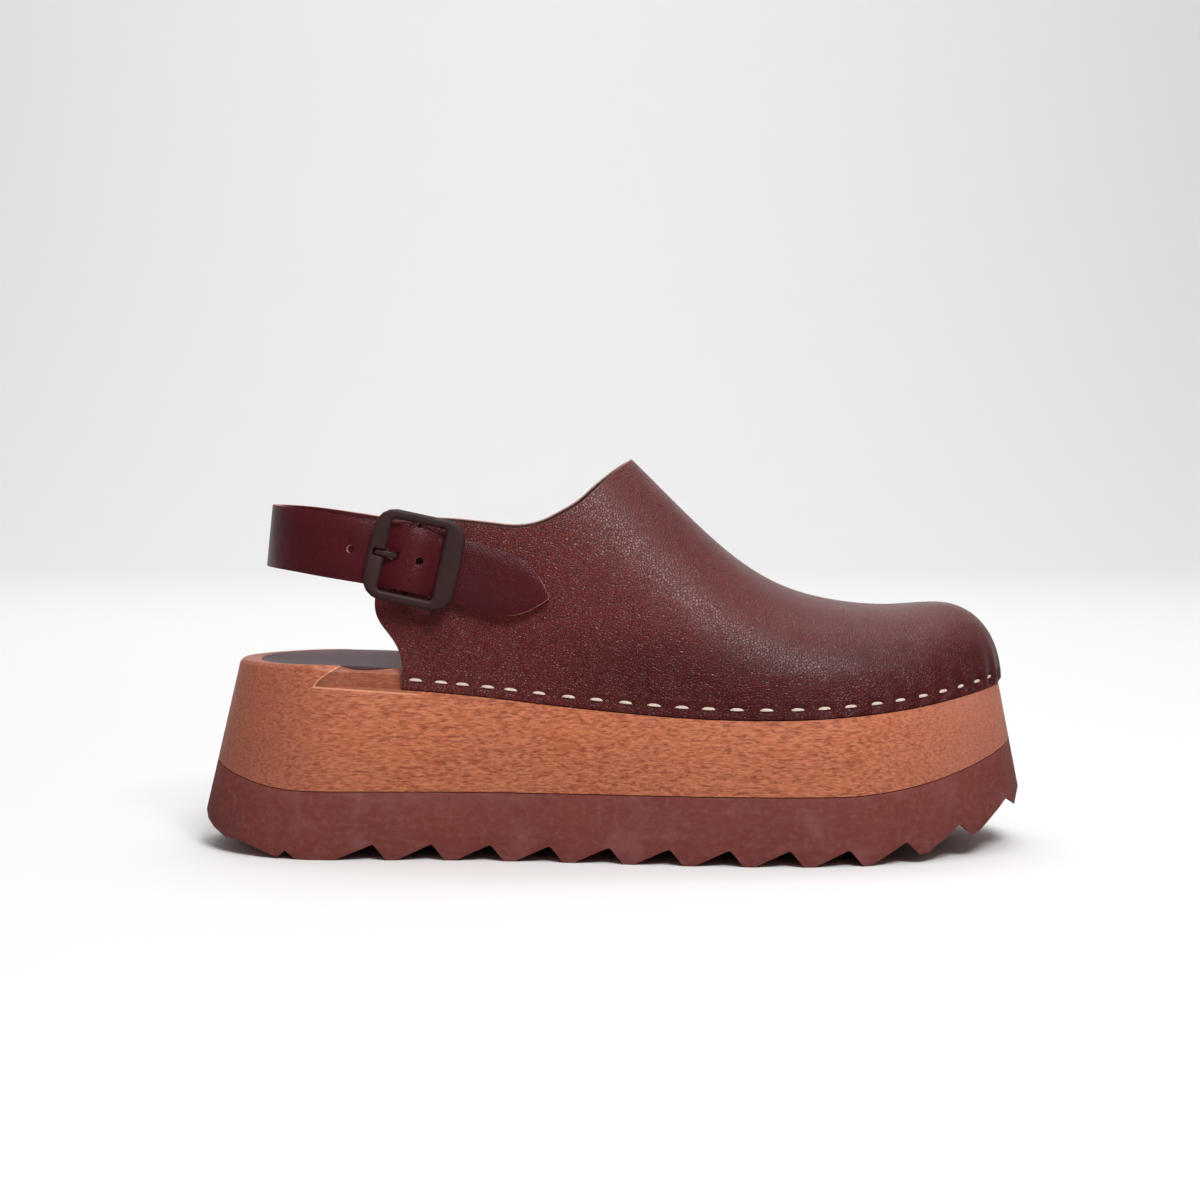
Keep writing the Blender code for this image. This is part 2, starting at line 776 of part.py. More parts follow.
def upper_grid():
    """Outer face of the upper: a row for each rib, from one wing round the toe to the other."""
    ribs, flats = [], []
    for side in (LATERAL, MEDIAL):
        first = position_of(WING_FOOT, side)
        if side == LATERAL:
            places = [first, *range(math.floor(first) + 1, TOE_INDEX + 1)]
        else:
            places = [first, *range(math.ceil(first) - 1, TOE_INDEX, -1)]
        collar = collar_line(side)
        collar_run = along(collar)
        toe_place = [TOE_INDEX] if side == MEDIAL else []
        plan = np.array([ring_place(place)[0] for place in (*places, *toe_place)])
        shares = along(plan)[:len(places)] / along(plan)[-1]
        made, normals = [], []
        for place, share in zip(places, shares):
            point, normal = ring_place(place)
            foot = point + normal * (LEATHER_OUT + toe_gather(normal))
            head = at_lengths(collar, [collar_run[-1] * (1.0 - (1.0 - share) ** COLLAR_PULL)])[0]
            rib = rib_rows(foot, head, side, share)
            low = np.array((*foot, ledge_height(point[0], side) + GAP))
            made.append(np.vstack((low, rib)))
            normals.append(normal)
        if side == MEDIAL:
            made.reverse()
            normals.reverse()
        ribs.extend(made)
        flats.extend(normals)
    return np.array(ribs), np.array(flats)


def grid_normals(grid, flats):
    """Outward normals of the grid; the margin's are level."""
    across = np.gradient(grid, axis=0)
    upward = np.gradient(grid, axis=1)
    normals = np.cross(across, upward)
    normals /= np.linalg.norm(normals, axis=2)[:, :, None]
    normals[:, :2, :2] = flats[:, None, :]
    normals[:, :2, 2] = 0.0
    return normals


def make_upper():
    """One-piece leather upper, an open shell with a real wall."""
    look = material("brown_leather", (0.10, 0.02, 0.022), 0.42)
    outer, flats = upper_grid()
    inner = outer - grid_normals(outer, flats) * LEATHER
    bm = bmesh.new()
    skins = [add_rows(bm, face) for face in (outer, inner)]
    for rows in skins:
        weave(bm, rows, closed=False)
    outside, inside = skins
    for end in (0, -1):
        weave(bm, ([row[end] for row in outside], [row[end] for row in inside]), closed=False)
        weave(bm, (outside[end], inside[end]), closed=False)
    finish("upper", bm, look, smooth_angle=45.0)


def strap_place(x, z, side):
    """Point of the surface that the strap lies on: the wing, and a round bend behind it."""
    join = np.maximum(x, STRAP_JOIN)
    middle = skin_middle(join)
    back = STRAP_BACK + (z - STRAP_HEIGHT) * math.tan(STRAP_LEAN)
    behind = np.clip((STRAP_JOIN - x) / (STRAP_JOIN - STRAP_BACK), 0.0, 1.0)
    place = np.where(x < STRAP_JOIN, STRAP_JOIN - behind * (STRAP_JOIN - back), x)
    edge = np.where(side == LATERAL, skin_side(join, z, LATERAL), skin_side(join, z, MEDIAL))
    return np.column_stack((place, middle + (edge - middle) * round_end(behind, STRAP_END_POWER), z))


def strap_height(x):
    return STRAP_HEIGHT - STRAP_DROP * read(STRAP_LINE, "drop", (x - STRAP_BACK) / (TAIL_TIP - STRAP_BACK))


def strap_chain():
    """Dense middle line from the inner end round the heel to the tail's tip."""
    turn = 1.0 - np.cos(np.linspace(0.0, math.pi / 2.0, DENSE))
    inner = STRAP_BACK + (STRAP_INNER_END - STRAP_BACK) * turn[::-1]
    outer = STRAP_BACK + (TAIL_TIP - STRAP_BACK) * turn[1:]
    x = np.concatenate((inner, outer))
    side = np.where(np.arange(len(x)) < DENSE, MEDIAL, LATERAL)
    points = strap_place(x, strap_height(x), side)
    return x, along(points)


CHAIN_X, CHAIN_RUN = strap_chain()
CHAIN_BACK = CHAIN_RUN[DENSE - 1]
CHAIN_END = CHAIN_RUN[-1]
BUCKLE_RUN = float(np.interp(BUCKLE_AT, CHAIN_X[DENSE - 1:], CHAIN_RUN[DENSE - 1:]))
OPENING_MIDDLE = (BACK_BAR - FRONT_BAR) / 2.0


def strap_surface(run, across):
    """Points at a length along the strap and a distance across it, on what it lies on."""
    run, across = np.broadcast_arrays(np.asarray(run, float), np.asarray(across, float))
    near = (run - STRAP_PROBE, run + STRAP_PROBE)
    heights = [strap_height(np.interp(place, CHAIN_RUN, CHAIN_X)) for place in near]
    slope = (heights[1] - heights[0]) / (2.0 * STRAP_PROBE)
    tilt = np.arctan(slope)
    place = run - across * np.sin(tilt)
    beyond = np.maximum(place - CHAIN_END, 0.0) + np.maximum(-place, 0.0)
    x = np.interp(place, CHAIN_RUN, CHAIN_X) + beyond
    z = strap_height(np.interp(run, CHAIN_RUN, CHAIN_X)) + across * np.cos(tilt)
    side = np.where(place < CHAIN_BACK, MEDIAL, LATERAL)
    return strap_place(x, z, side)


def strap_frame(run):
    """Origin on the surface and the strap's own directions there: along, across and out."""
    step = 2.0 * STRAP_PROBE
    here = strap_surface([run], [0.0])[0]
    ahead = strap_surface([run + step], [0.0])[0] - strap_surface([run - step], [0.0])[0]
    upward = strap_surface([run], [step])[0] - strap_surface([run], [-step])[0]
    ahead /= np.linalg.norm(ahead)
    out = np.cross(ahead, upward)
    out /= np.linalg.norm(out)
    return here, np.array((ahead, np.cross(out, ahead), out))


def local(frame, points):
    """Points given along, across and out, in the shoe's own directions."""
    here, axes = frame
    return here + np.asarray(points, float) @ axes


def tail_share(run):
    """Width of the strap as a share: full, but for the leaf-shaped tail."""
    near = np.clip((run - CHAIN_END + TAIL_TAPER) / TAIL_TAPER, 0.0, 1.0)
    return np.maximum((1.0 - near * near) ** TAIL_POWER, TAIL_BLUNT)


def face_normals(grid):
    """Unit normals of a grid of points."""
    normals = np.cross(np.gradient(grid, axis=0), np.gradient(grid, axis=1))
    return normals / np.linalg.norm(normals, axis=2)[:, :, None]


def prism(bm, low, high):
    """Closed prism between two loops of points."""
    rows = add_rows(bm, (low, high))
    weave(bm, rows, closed=True)
    for row in rows:
        bm.faces.new(row)


def hole_cutter(name, frame, centre, radii, slant=0.0):
    """Oval cutter through the strap, slanted along it if asked."""
    turns = 2.0 * math.pi * np.arange(ROUND_SIDES) / ROUND_SIDES
    loops = []
    for out in (-STRAP_THICKNESS, STRAP_BUMP + 2.0 * STRAP_THICKNESS):
        drift = slant * (out - STRAP_BUMP)
        loops.append(local(frame, [
            (centre + drift + radii[0] * math.cos(t), radii[1] * math.sin(t), out) for t in turns
        ]))
    bm = bmesh.new()
    prism(bm, *loops)
    return finish(name, bm, None)


def make_heel_strap():
    """Leather strap with its leaf-shaped tail, raised where it passes over the buckle's bar."""
    look = material("strap_leather", (0.09, 0.018, 0.026), 0.4)
    runs = np.linspace(0.0, CHAIN_END, STRAP_STEPS)
    rows = []
    for run in runs:
        across = np.array(STRAP_ROWS) * STRAP_WIDTH / 2.0 * tail_share(run)
        rows.append(strap_surface(run, across))
    bed = np.array(rows)
    bar = BUCKLE_RUN + OPENING_MIDDLE
    lift = STRAP_BUMP * np.cos(math.pi / 2.0 * np.clip((runs - bar) / BUMP_LENGTH, -1.0, 1.0)) ** 2
    inner = bed + face_normals(bed) * (GAP + lift)[:, None, None]
    outer = inner + face_normals(inner) * STRAP_THICKNESS
    bm = bmesh.new()
    outside, inside = add_rows(bm, outer), add_rows(bm, inner)
    weave(bm, outside, closed=False)
    weave(bm, inside, closed=False)
    for end in (0, -1):
        weave(bm, ([row[end] for row in outside], [row[end] for row in inside]), closed=False)
        weave(bm, (outside[end], inside[end]), closed=False)
    strap = finish("heel_strap", bm, look, smooth_angle=35.0)
    frame = strap_frame(BUCKLE_RUN)
    for number, place in enumerate(STRAP_HOLES_AT):
        near = strap_frame(BUCKLE_RUN + place)
        cut(strap, hole_cutter(f"strap_hole_{number}", near, 0.0, (STRAP_HOLE, STRAP_HOLE)))
    cut(strap, hole_cutter("prong_slot", frame, SLOT_AT, (SLOT_LENGTH, SLOT_WIDTH), SLOT_SLANT))
    rivet = strap_frame(RIVET_INSET)
    cut(strap, hole_cutter("rivet_hole", rivet, 0.0, (RIVET_SHANK + GAP, RIVET_SHANK + GAP)))


def rounded_loop(low, high, half_width, radius, arch=0.0):
    """Anticlockwise rounded rectangle along and across the strap."""
    right_angle = math.pi / 2.0
    corner_places = (
        (high - radius, radius - half_width),
        (high - radius, half_width - radius),
        (low + radius, half_width - radius),
        (low + radius, radius - half_width),
    )
    points = []
    for quarter, (centre_along, centre_across) in enumerate(corner_places):
        for turn in np.linspace(0.0, right_angle, CORNER_STEPS) + (quarter - 1) * right_angle:
            place = (centre_along + radius * math.cos(turn), centre_across + radius * math.sin(turn))
            points.append(place)
    points = np.array(points)
    share = (points[:, 0] - (low + high) / 2.0) / ((high - low) / 2.0)
    points[:, 1] += np.sign(points[:, 1]) * arch * (1.0 - share**2)
    return points


def make_buckle_frame():
    """Bevelled frame over the strap, with its centre bar under the strap."""
    look = material("brown_metal", (0.07, 0.045, 0.045), 0.5, 0.3)
    frame = strap_frame(BUCKLE_RUN)
    bed = GAP + STRAP_THICKNESS + FRAME_RIDE
    top = bed + FRAME_THICKNESS
    ends = (-FRAME_LENGTH / 2.0, FRAME_LENGTH / 2.0)
    hole = (ends[0] + BACK_BAR, ends[1] - FRONT_BAR)
    half_width, half_opening = FRAME_WIDTH / 2.0, OPENING_WIDTH / 2.0
    levels = ((0.0, bed), (0.0, top - FRAME_BEVEL), (FRAME_BEVEL, top))
    loops = []
    for inset, out in levels:
        low, high = ends[0] + inset, ends[1] - inset
        plan = rounded_loop(low, high, half_width - inset, FRAME_CORNER - inset, FRAME_ARCH)
        loops.append(local(frame, np.column_stack((plan, np.full(len(plan), out)))))
    for inset, out in reversed(levels):
        low, high = hole[0] - inset, hole[1] + inset
        plan = rounded_loop(low, high, half_opening + inset, OPENING_CORNER + inset)
        loops.append(local(frame, np.column_stack((plan, np.full(len(plan), out)))))
    bm = bmesh.new()
    rows = add_rows(bm, loops)
    weave(bm, [*rows, rows[0]], closed=True)
    buckle = finish("buckle_frame", bm, look, smooth_angle=30.0)
    bar = bmesh.new()
    reach, half = half_opening + CENTRE_BAR_POST, CENTRE_BAR / 2.0
    inside = reach - CENTRE_BAR
    low, high, into = CENTRE_BAR_LIFT - half, CENTRE_BAR_LIFT + half, bed + CENTRE_BAR
    profile = (
        (-reach, into), (-reach, low), (reach, low), (reach, into),
        (inside, into), (inside, high), (-inside, high), (-inside, into),
    )
    sides = []
    for shift in (-half, half):
        sides.append(local(frame, [(OPENING_MIDDLE + shift, across, out) for across, out in profile]))
    rows = add_rows(bar, sides)
    weave(bar, rows, closed=True)
    for row in rows:
        for a, b, c, d in BAR_FACES:
            bar.faces.new((row[a], row[b], row[c], row[d]))
    helper = finish("centre_bar", bar, None)
    helper.hide_render = True
    helper.display_type = "WIRE"
    step = buckle.modifiers.new("add_centre_bar", "BOOLEAN")
    step.operation = "UNION"
    step.object = helper
    notch = bmesh.new()
    inner_edge = hole[0] + FRAME_BEVEL
    notch_end = inner_edge - NOTCH_LENGTH
    plan = ((inner_edge, -1.0), (inner_edge, 1.0), (notch_end, 1.0), (notch_end, -1.0))
    half_notch = PRONG_WIDTH / 2.0 + GAP
    prism(notch, *[
        local(frame, [(x, side * half_notch, out) for x, side in plan])
        for out in (top - PRONG_NOTCH - FRAME_RIDE, top + FRAME_THICKNESS)
    ])
    cut(buckle, finish("prong_notch", notch, None))


def make_buckle_prong():
    """Prong hooked round the centre bar, up through its slot and into the frame's notch."""
    look = material("brown_metal_prong", (0.07, 0.045, 0.045), 0.5, 0.3)
    frame = strap_frame(BUCKLE_RUN)
    path = []
    for turn in np.linspace(*HOOK_TURN, HOOK_STEPS):
        path.append((HOOK_RADIUS * math.cos(turn), HOOK_RADIUS * math.sin(turn), HOOK_HALF))
    for far, out, half in zip(column(PRONG, "along"), column(PRONG, "out"), column(PRONG, "half")):
        path.append((-far * PRONG_REACH, out * PRONG_REACH, half * PRONG_REACH))
    path = np.array(path)
    lead = np.gradient(path[:, :2], axis=0)
    lead /= np.linalg.norm(lead, axis=1)[:, None]
    across, thick = column(PRONG_SECTION, "across"), column(PRONG_SECTION, "thick")
    loops = []
    for (far, out, half), (go, rise) in zip(path, lead):
        section = np.column_stack((
            OPENING_MIDDLE + far - rise * thick * half,
            across * PRONG_WIDTH / 2.0,
            CENTRE_BAR_LIFT + out + go * thick * half,
        ))
        loops.append(local(frame, section))
    bm = bmesh.new()
    rows = add_rows(bm, loops)
    weave(bm, rows, closed=True)
    bm.faces.new(rows[0])
    bm.faces.new(rows[-1])
    finish("buckle_prong", bm, look, smooth_angle=40.0)


def make_strap_rivet():
    """Domed rivet in the strap's inner end."""
    look = material("brown_metal_rivet", (0.07, 0.045, 0.045), 0.5, 0.3)
    frame = strap_frame(RIVET_INSET)
    face = GAP + STRAP_THICKNESS + GAP
    profile = [(RIVET_SHANK, GAP), (RIVET_SHANK, face)]
    for radius, rise in zip(column(RIVET_DOME_LINE, "radius"), column(RIVET_DOME_LINE, "rise")):
        profile.append((RIVET_HEAD * radius, face + RIVET_DOME * rise))
    turns = 2.0 * math.pi * np.arange(ROUND_SIDES) / ROUND_SIDES
    loops = [local(frame, [(r * math.cos(t), r * math.sin(t), out) for t in turns]) for r, out in profile]
    bm = bmesh.new()
    rows = add_rows(bm, loops)
    weave(bm, rows, closed=True)
    bm.faces.new(rows[0])
    bm.faces.new(rows[-1])
    finish("strap_rivet", bm, look, smooth_angle=35.0)


def build():
    for obj in list(bpy.data.objects):
        bpy.data.objects.remove(obj, do_unlink=True)
    make_outsole()
    make_wood_sole()
    make_insole()
    make_upper()
    make_heel_strap()
    make_buckle_frame()
    make_buckle_prong()
    make_strap_rivet()


build()
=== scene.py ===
"""Looks of a right-foot clog: lugged rubber sole, carved wood, stitched leather upper and buckled strap.

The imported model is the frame. Lengths are metres, the toe points along +X, the inner side of the
foot is +Y and Z is up. Each piece is a worked copy of its CAD node or is modelled beside it.
"""

import math

import bmesh
import bpy
import numpy as np
from mathutils import Matrix, Vector
from mathutils.bvhtree import BVHTree
from mathutils.kdtree import KDTree


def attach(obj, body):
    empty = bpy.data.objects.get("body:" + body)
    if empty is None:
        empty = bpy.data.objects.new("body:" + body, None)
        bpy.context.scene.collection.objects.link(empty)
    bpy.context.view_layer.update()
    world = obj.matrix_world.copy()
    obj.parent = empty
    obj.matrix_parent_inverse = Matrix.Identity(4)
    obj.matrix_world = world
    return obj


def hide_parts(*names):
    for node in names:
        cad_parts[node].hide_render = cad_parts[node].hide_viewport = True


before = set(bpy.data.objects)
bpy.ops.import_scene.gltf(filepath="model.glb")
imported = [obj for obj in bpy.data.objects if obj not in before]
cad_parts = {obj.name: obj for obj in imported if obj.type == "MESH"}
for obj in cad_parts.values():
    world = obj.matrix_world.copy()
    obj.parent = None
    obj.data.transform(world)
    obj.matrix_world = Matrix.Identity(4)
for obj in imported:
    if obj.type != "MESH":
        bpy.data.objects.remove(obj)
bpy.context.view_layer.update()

MM = 0.001
MERGE = 1e-6
BODY = "root"

# Camera, as measured in the photo
CAMERA_PLACE = (-0.031, -0.7008, 0.120)
CAMERA_LENS = 63.0
SENSOR = 36.0
CAMERA_SHIFT = (0.0667, -0.1)

# Studio
FLOOR_WIDTH = 9.0
FLOOR_FRONT = -6.0
FLOOR_BACK = 3.2
WALL_HEIGHT = 3.6
COVE_RADIUS = 1.2
COVE_STEPS = 24
SKY_TOP = (0.33, 0.33, 0.34)
SKY_SIDE = (0.05, 0.05, 0.05)
SKY_SEEN = (0.84, 0.835, 0.838)
SKY_FULL = 0.75
PAPER = (0.875, 0.868, 0.864)
FLAGGED_PAPER = (0.07, 0.066, 0.066)
FLAG_FULL = 0.0
FLAG_END = 0.6
LIGHTS = (
    ("name", "place", "aim", "size", "power"),
    ("soft_top", (0.05, -0.20, 1.15), (0.02, 0.0, 0.05), 1.00, 3.4),
    ("front_key", (0.26, -0.76, 0.98), (0.03, 0.0, 0.07), 0.46, 9.4),
    ("wall_wash", (0.0, 1.05, 2.2), (0.0, 3.2, 0.5), 2.6, 47.0),
)

# Leather upper
UPPER_LEVELS = 2
EDGE_CREASE = 0.8
SHARP = math.radians(42.0)
PLEAT_ZONE = 0.013
STITCH_HEIGHT = 0.0031
STITCH_LENGTH = 0.0044
STITCH_RISE = 0.0015
STITCH_SIZE = (STITCH_LENGTH, 0.0010, STITCH_RISE)
STITCH_FLAT = 0.3
STITCH_LOWER = STITCH_RISE * 0.1
STITCH_SINK = 0.00012
STITCH_DENT = 0.00034
STITCH_PUFF = 0.00020
# The sunk dark ellipsoid behind each stitch is painted shade, round the stitch holes.
GROOVE_SINK = 0.00018
GROOVE_SIZE = Vector((1.20, 0.62, 1.42))
PLEAT_DEPTH = 0.00060
PLEAT_START = 0.035
PLEAT_FULL = 0.110
PLEAT_RISE = 0.0026
PLEAT_RISE_TOE = 0.0022
PLEAT_LEAST = 0.16
DENT_LENGTH = 0.0026
DENT_HEIGHT = 0.0011
PUFF_ABOVE = 0.0019
PUFF_LENGTH = 0.0030
LIP_HEIGHT = 0.0008
LIP_LENGTH = 0.0034
LIP_SHARE = 0.6
EDGE_EASE = 0.0012
MARGIN_TOP = 0.03
MARGIN_LEVEL = 0.0591
MARGIN_FALL = 0.045
MARGIN_FALL_FROM = -0.02
MARGIN_LOWEST = 0.0475
BORDER_STEPS = 1600
PROBE_START = 0.02
UNDERSIDE = -0.6

# Distances between stitches from a wing's back corner towards the toe, read off the photo
FIRST_STITCH = 0.0044
STITCH_STEPS = (8.2, 6.8, 8.2, 7.2, 9.2, 9.5, 8.9, 9.1, 9.1, 8.8, 8.3, 8.8, 9.2, 9.7)
STITCH_PITCH = 0.0086

# Milled ledge on the outer side: its shelf line, and the curved end of the cut
MILL_INSIDE = 0.020
MILL_OUTSIDE = 0.024
MILL_BACK = -0.0967
MILL_FRONT = -0.0640
MILL_SLOPE = -0.068
MILL_LEVEL = 0.04752
MILL_LEAN = 0.45
MILL_BEND = 105.0
MILL_SOFT = 0.0002
MILL_CORNER = 0.0040
MILL_FADE = 0.0003

# Painted lines of the ledge: their half widths, squared
SHELF_LINE = 1.6e-7
END_LINE = 1.4e-7
LINE_CORE = 2e-8


def only(piece):
    """Makes one piece the only one selected, and active."""
    if bpy.context.object and bpy.context.object.mode != "OBJECT":
        bpy.ops.object.mode_set(mode="OBJECT")
    bpy.ops.object.select_all(action="DESELECT")
    piece.select_set(True)
    bpy.context.view_layer.objects.active = piece


def edit(piece, kind="FACE"):
    """Opens a piece in edit mode with nothing selected."""
    only(piece)
    bpy.ops.object.mode_set(mode="EDIT")
    bpy.ops.mesh.select_mode(type=kind)
    bpy.ops.mesh.select_all(action="DESELECT")


def pick(piece, parts, rule):
    """In edit mode, selects the corners, edges or faces that meet a rule."""
    bm = bmesh.from_edit_mesh(piece.data)
    for part in getattr(bm, parts):
        part.select_set(rule(part))
    bm.select_flush_mode()
    bmesh.update_edit_mesh(piece.data)


def close_edit():
    bpy.ops.object.mode_set(mode="OBJECT")


def worked_copy(node, name, slot):
    """A piece that stands for a CAD node, with its corners merged and its normals left to smoothing."""
    piece = bpy.data.objects.new(name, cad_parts[node].data.copy())
    bpy.context.scene.collection.objects.link(piece)
    piece.data.materials.clear()
    edit(piece, "VERT")
    bpy.ops.mesh.select_all(action="SELECT")
    bpy.ops.mesh.remove_doubles(threshold=MERGE)
    close_edit()
    bpy.ops.mesh.customdata_custom_splitnormals_clear()
    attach(piece, BODY)
    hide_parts(node)
    return piece


def join_quads(piece, angle=SHARP):
    """Turns pairs of triangles into quads, so that subdivision rounds them evenly."""
    edit(piece)
    bpy.ops.mesh.select_all(action="SELECT")
    bpy.ops.mesh.tris_convert_to_quads(face_threshold=angle, shape_threshold=math.pi)
    close_edit()


def crease_sharp(piece, angle, value):
    """Creases the sharp edges, so that subdivision keeps them."""
    edit(piece, "EDGE")
    bpy.ops.mesh.edges_select_sharp(sharpness=angle)
    bpy.ops.transform.edge_crease(value=value)
    close_edit()


def add_modifier(piece, kind, **settings):
    """Adds a modifier and applies it."""
    only(piece)
    step = piece.modifiers.new(kind.lower(), kind)
    for key, value in settings.items():
        setattr(step, key, value)
    bpy.ops.object.modifier_apply(modifier=step.name)


def round_edges(piece, width, angle=SHARP, segments=2, worn=-1):
    """Rounds the sharp edges; worn is the look of the rounding, or -1 for the piece's own."""
    add_modifier(
        piece, "BEVEL", width=width, segments=segments, limit_method="ANGLE",
        angle_limit=angle, material=worn, loop_slide=False,
    )


def smooth(piece, angle=SHARP):
    only(piece)
    bpy.ops.object.shade_smooth_by_angle(angle=angle)


def skins(piece, angle=SHARP):
    """Number of the skin of each face, largest skin first: skins end at sharp edges."""
    bm = bmesh.new()
    bm.from_mesh(piece.data)
    bm.faces.ensure_lookup_table()
    label = [-1] * len(bm.faces)
    sizes = []
    for seed in bm.faces:
        if label[seed.index] >= 0:
            continue
        number = len(sizes)
        area = 0.0
        stack = [seed]
        label[seed.index] = number
        while stack:
            face = stack.pop()
            area += face.calc_area()
            for edge in face.edges:
                if len(edge.link_faces) != 2 or edge.calc_face_angle(0.0) > angle:
                    continue
                for near in edge.link_faces:
                    if label[near.index] < 0:
                        label[near.index] = number
                        stack.append(near)
        sizes.append(area)
    bm.free()
    rank = np.argsort(np.argsort(-np.array(sizes)))
    return np.array([rank[number] for number in label])


def set_looks(piece, looks, slots=None):
    """Gives a piece its materials and each face its slot."""
    for look in looks:
        piece.data.materials.append(look)
    if slots is not None:
        piece.data.polygons.foreach_set("material_index", np.array(slots, dtype=np.int32))
        piece.data.update()


def corners(piece):
    places = np.empty(len(piece.data.vertices) * 3)
    piece.data.vertices.foreach_get("co", places)
    return places.reshape(-1, 3)


def normals(piece):
    found = np.empty(len(piece.data.vertices) * 3)
    piece.data.vertices.foreach_get("normal", found)
    return found.reshape(-1, 3)


def move_corners(piece, places):
    piece.data.vertices.foreach_set("co", np.asarray(places, dtype=np.float64).ravel())
    piece.data.update()


def ease(share):
    """Soft step from 0 to 1."""
    share = np.clip(share, 0.0, 1.0)
    return share * share * (3.0 - 2.0 * share)


def bump_of(distance, width):
    """A soft hump, 1 at its middle."""
    return np.exp(-((distance / width) ** 2))


# Shader node groups
def new_group(name, inputs, outputs):
    """An empty group with named inputs (name, kind, value) and outputs (name, kind)."""
    group = bpy.data.node_groups.new(name, "ShaderNodeTree")
    for label, kind, value in inputs:
        socket = group.interface.new_socket(name=label, in_out="INPUT", socket_type=kind)
        if value is not None:
            socket.default_value = value
    for label, kind in outputs:
        group.interface.new_socket(name=label, in_out="OUTPUT", socket_type=kind)
    return group, add(group, "NodeGroupInput"), add(group, "NodeGroupOutput")


def add(tree, kind, **values):
    """Adds a node; values name its properties, or its sockets with _ for a space."""
    node = tree.nodes.new(kind)
    for key, value in values.items():
        if hasattr(node, key):
            setattr(node, key, value)
        else:
            node.inputs[key.replace("_", " ")].default_value = value
    return node


def wire(tree, source, target):
    tree.links.new(source, target)


FLOAT = "NodeSocketFloat"
VECTOR = "NodeSocketVector"


def make_mottle_group():
    """Soft cloudy patches between 0 and 1."""
    group, start, end = new_group(
        "mottle",
        (("Vector", VECTOR, None), ("Scale", FLOAT, 20.0), ("Low", FLOAT, 0.4), ("High", FLOAT, 0.6)),
        (("Value", FLOAT),),
    )
    noise = add(group, "ShaderNodeTexNoise", Detail=4.0, Roughness=0.55)
    spread = add(group, "ShaderNodeMapRange", interpolation_type="SMOOTHSTEP")
    wire(group, start.outputs["Vector"], noise.inputs["Vector"])
    wire(group, start.outputs["Scale"], noise.inputs["Scale"])
    wire(group, noise.outputs["Fac"], spread.inputs["Value"])
    wire(group, start.outputs["Low"], spread.inputs["From Min"])
    wire(group, start.outputs["High"], spread.inputs["From Max"])
    wire(group, spread.outputs["Result"], end.inputs["Value"])
    return group


def make_grain_group():
    """Leather's pebbled grain: raised cells with creases between them, and a few pores."""
    group, start, end = new_group(
        "leather_grain",
        (("Vector", VECTOR, None), ("Scale", FLOAT, 1000.0), ("Pores", FLOAT, 0.3)),
        (("Height", FLOAT), ("Creases", FLOAT)),
    )
    warp = add(group, "ShaderNodeTexNoise", Detail=2.0)
    half = add(group, "ShaderNodeMath", operation="MULTIPLY")
    half.inputs[1].default_value = 0.45
    shift = add(group, "ShaderNodeVectorMath", operation="SCALE")
    shift.inputs["Scale"].default_value = 0.0008
    bent = add(group, "ShaderNodeVectorMath", operation="ADD")
    cells = add(group, "ShaderNodeTexVoronoi", feature="DISTANCE_TO_EDGE")
    swell = add(group, "ShaderNodeMapRange", interpolation_type="SMOOTHSTEP")
    swell.inputs["From Max"].default_value = 0.22
    pores = add(group, "ShaderNodeTexNoise", Detail=3.0, Roughness=0.7)
    double = add(group, "ShaderNodeMath", operation="MULTIPLY")
    double.inputs[1].default_value = 2.2
    share = add(group, "ShaderNodeMix", data_type="FLOAT")
    invert = add(group, "ShaderNodeMath", operation="SUBTRACT")
    invert.inputs[0].default_value = 1.0
    wire(group, start.outputs["Vector"], warp.inputs["Vector"])
    wire(group, start.outputs["Scale"], half.inputs[0])
    wire(group, half.outputs[0], warp.inputs["Scale"])
    wire(group, warp.outputs["Color"], shift.inputs[0])
    wire(group, start.outputs["Vector"], bent.inputs[0])
    wire(group, shift.outputs[0], bent.inputs[1])
    wire(group, bent.outputs[0], cells.inputs["Vector"])
    wire(group, start.outputs["Scale"], cells.inputs["Scale"])
    wire(group, cells.outputs["Distance"], swell.inputs["Value"])
    wire(group, start.outputs["Scale"], double.inputs[0])
    wire(group, start.outputs["Vector"], pores.inputs["Vector"])
    wire(group, double.outputs[0], pores.inputs["Scale"])
    wire(group, start.outputs["Pores"], share.inputs[0])
    wire(group, swell.outputs["Result"], share.inputs[2])
    wire(group, pores.outputs["Fac"], share.inputs[3])
    wire(group, share.outputs[0], end.inputs["Height"])
    wire(group, swell.outputs["Result"], invert.inputs[1])
    wire(group, invert.outputs[0], end.inputs["Creases"])
    return group


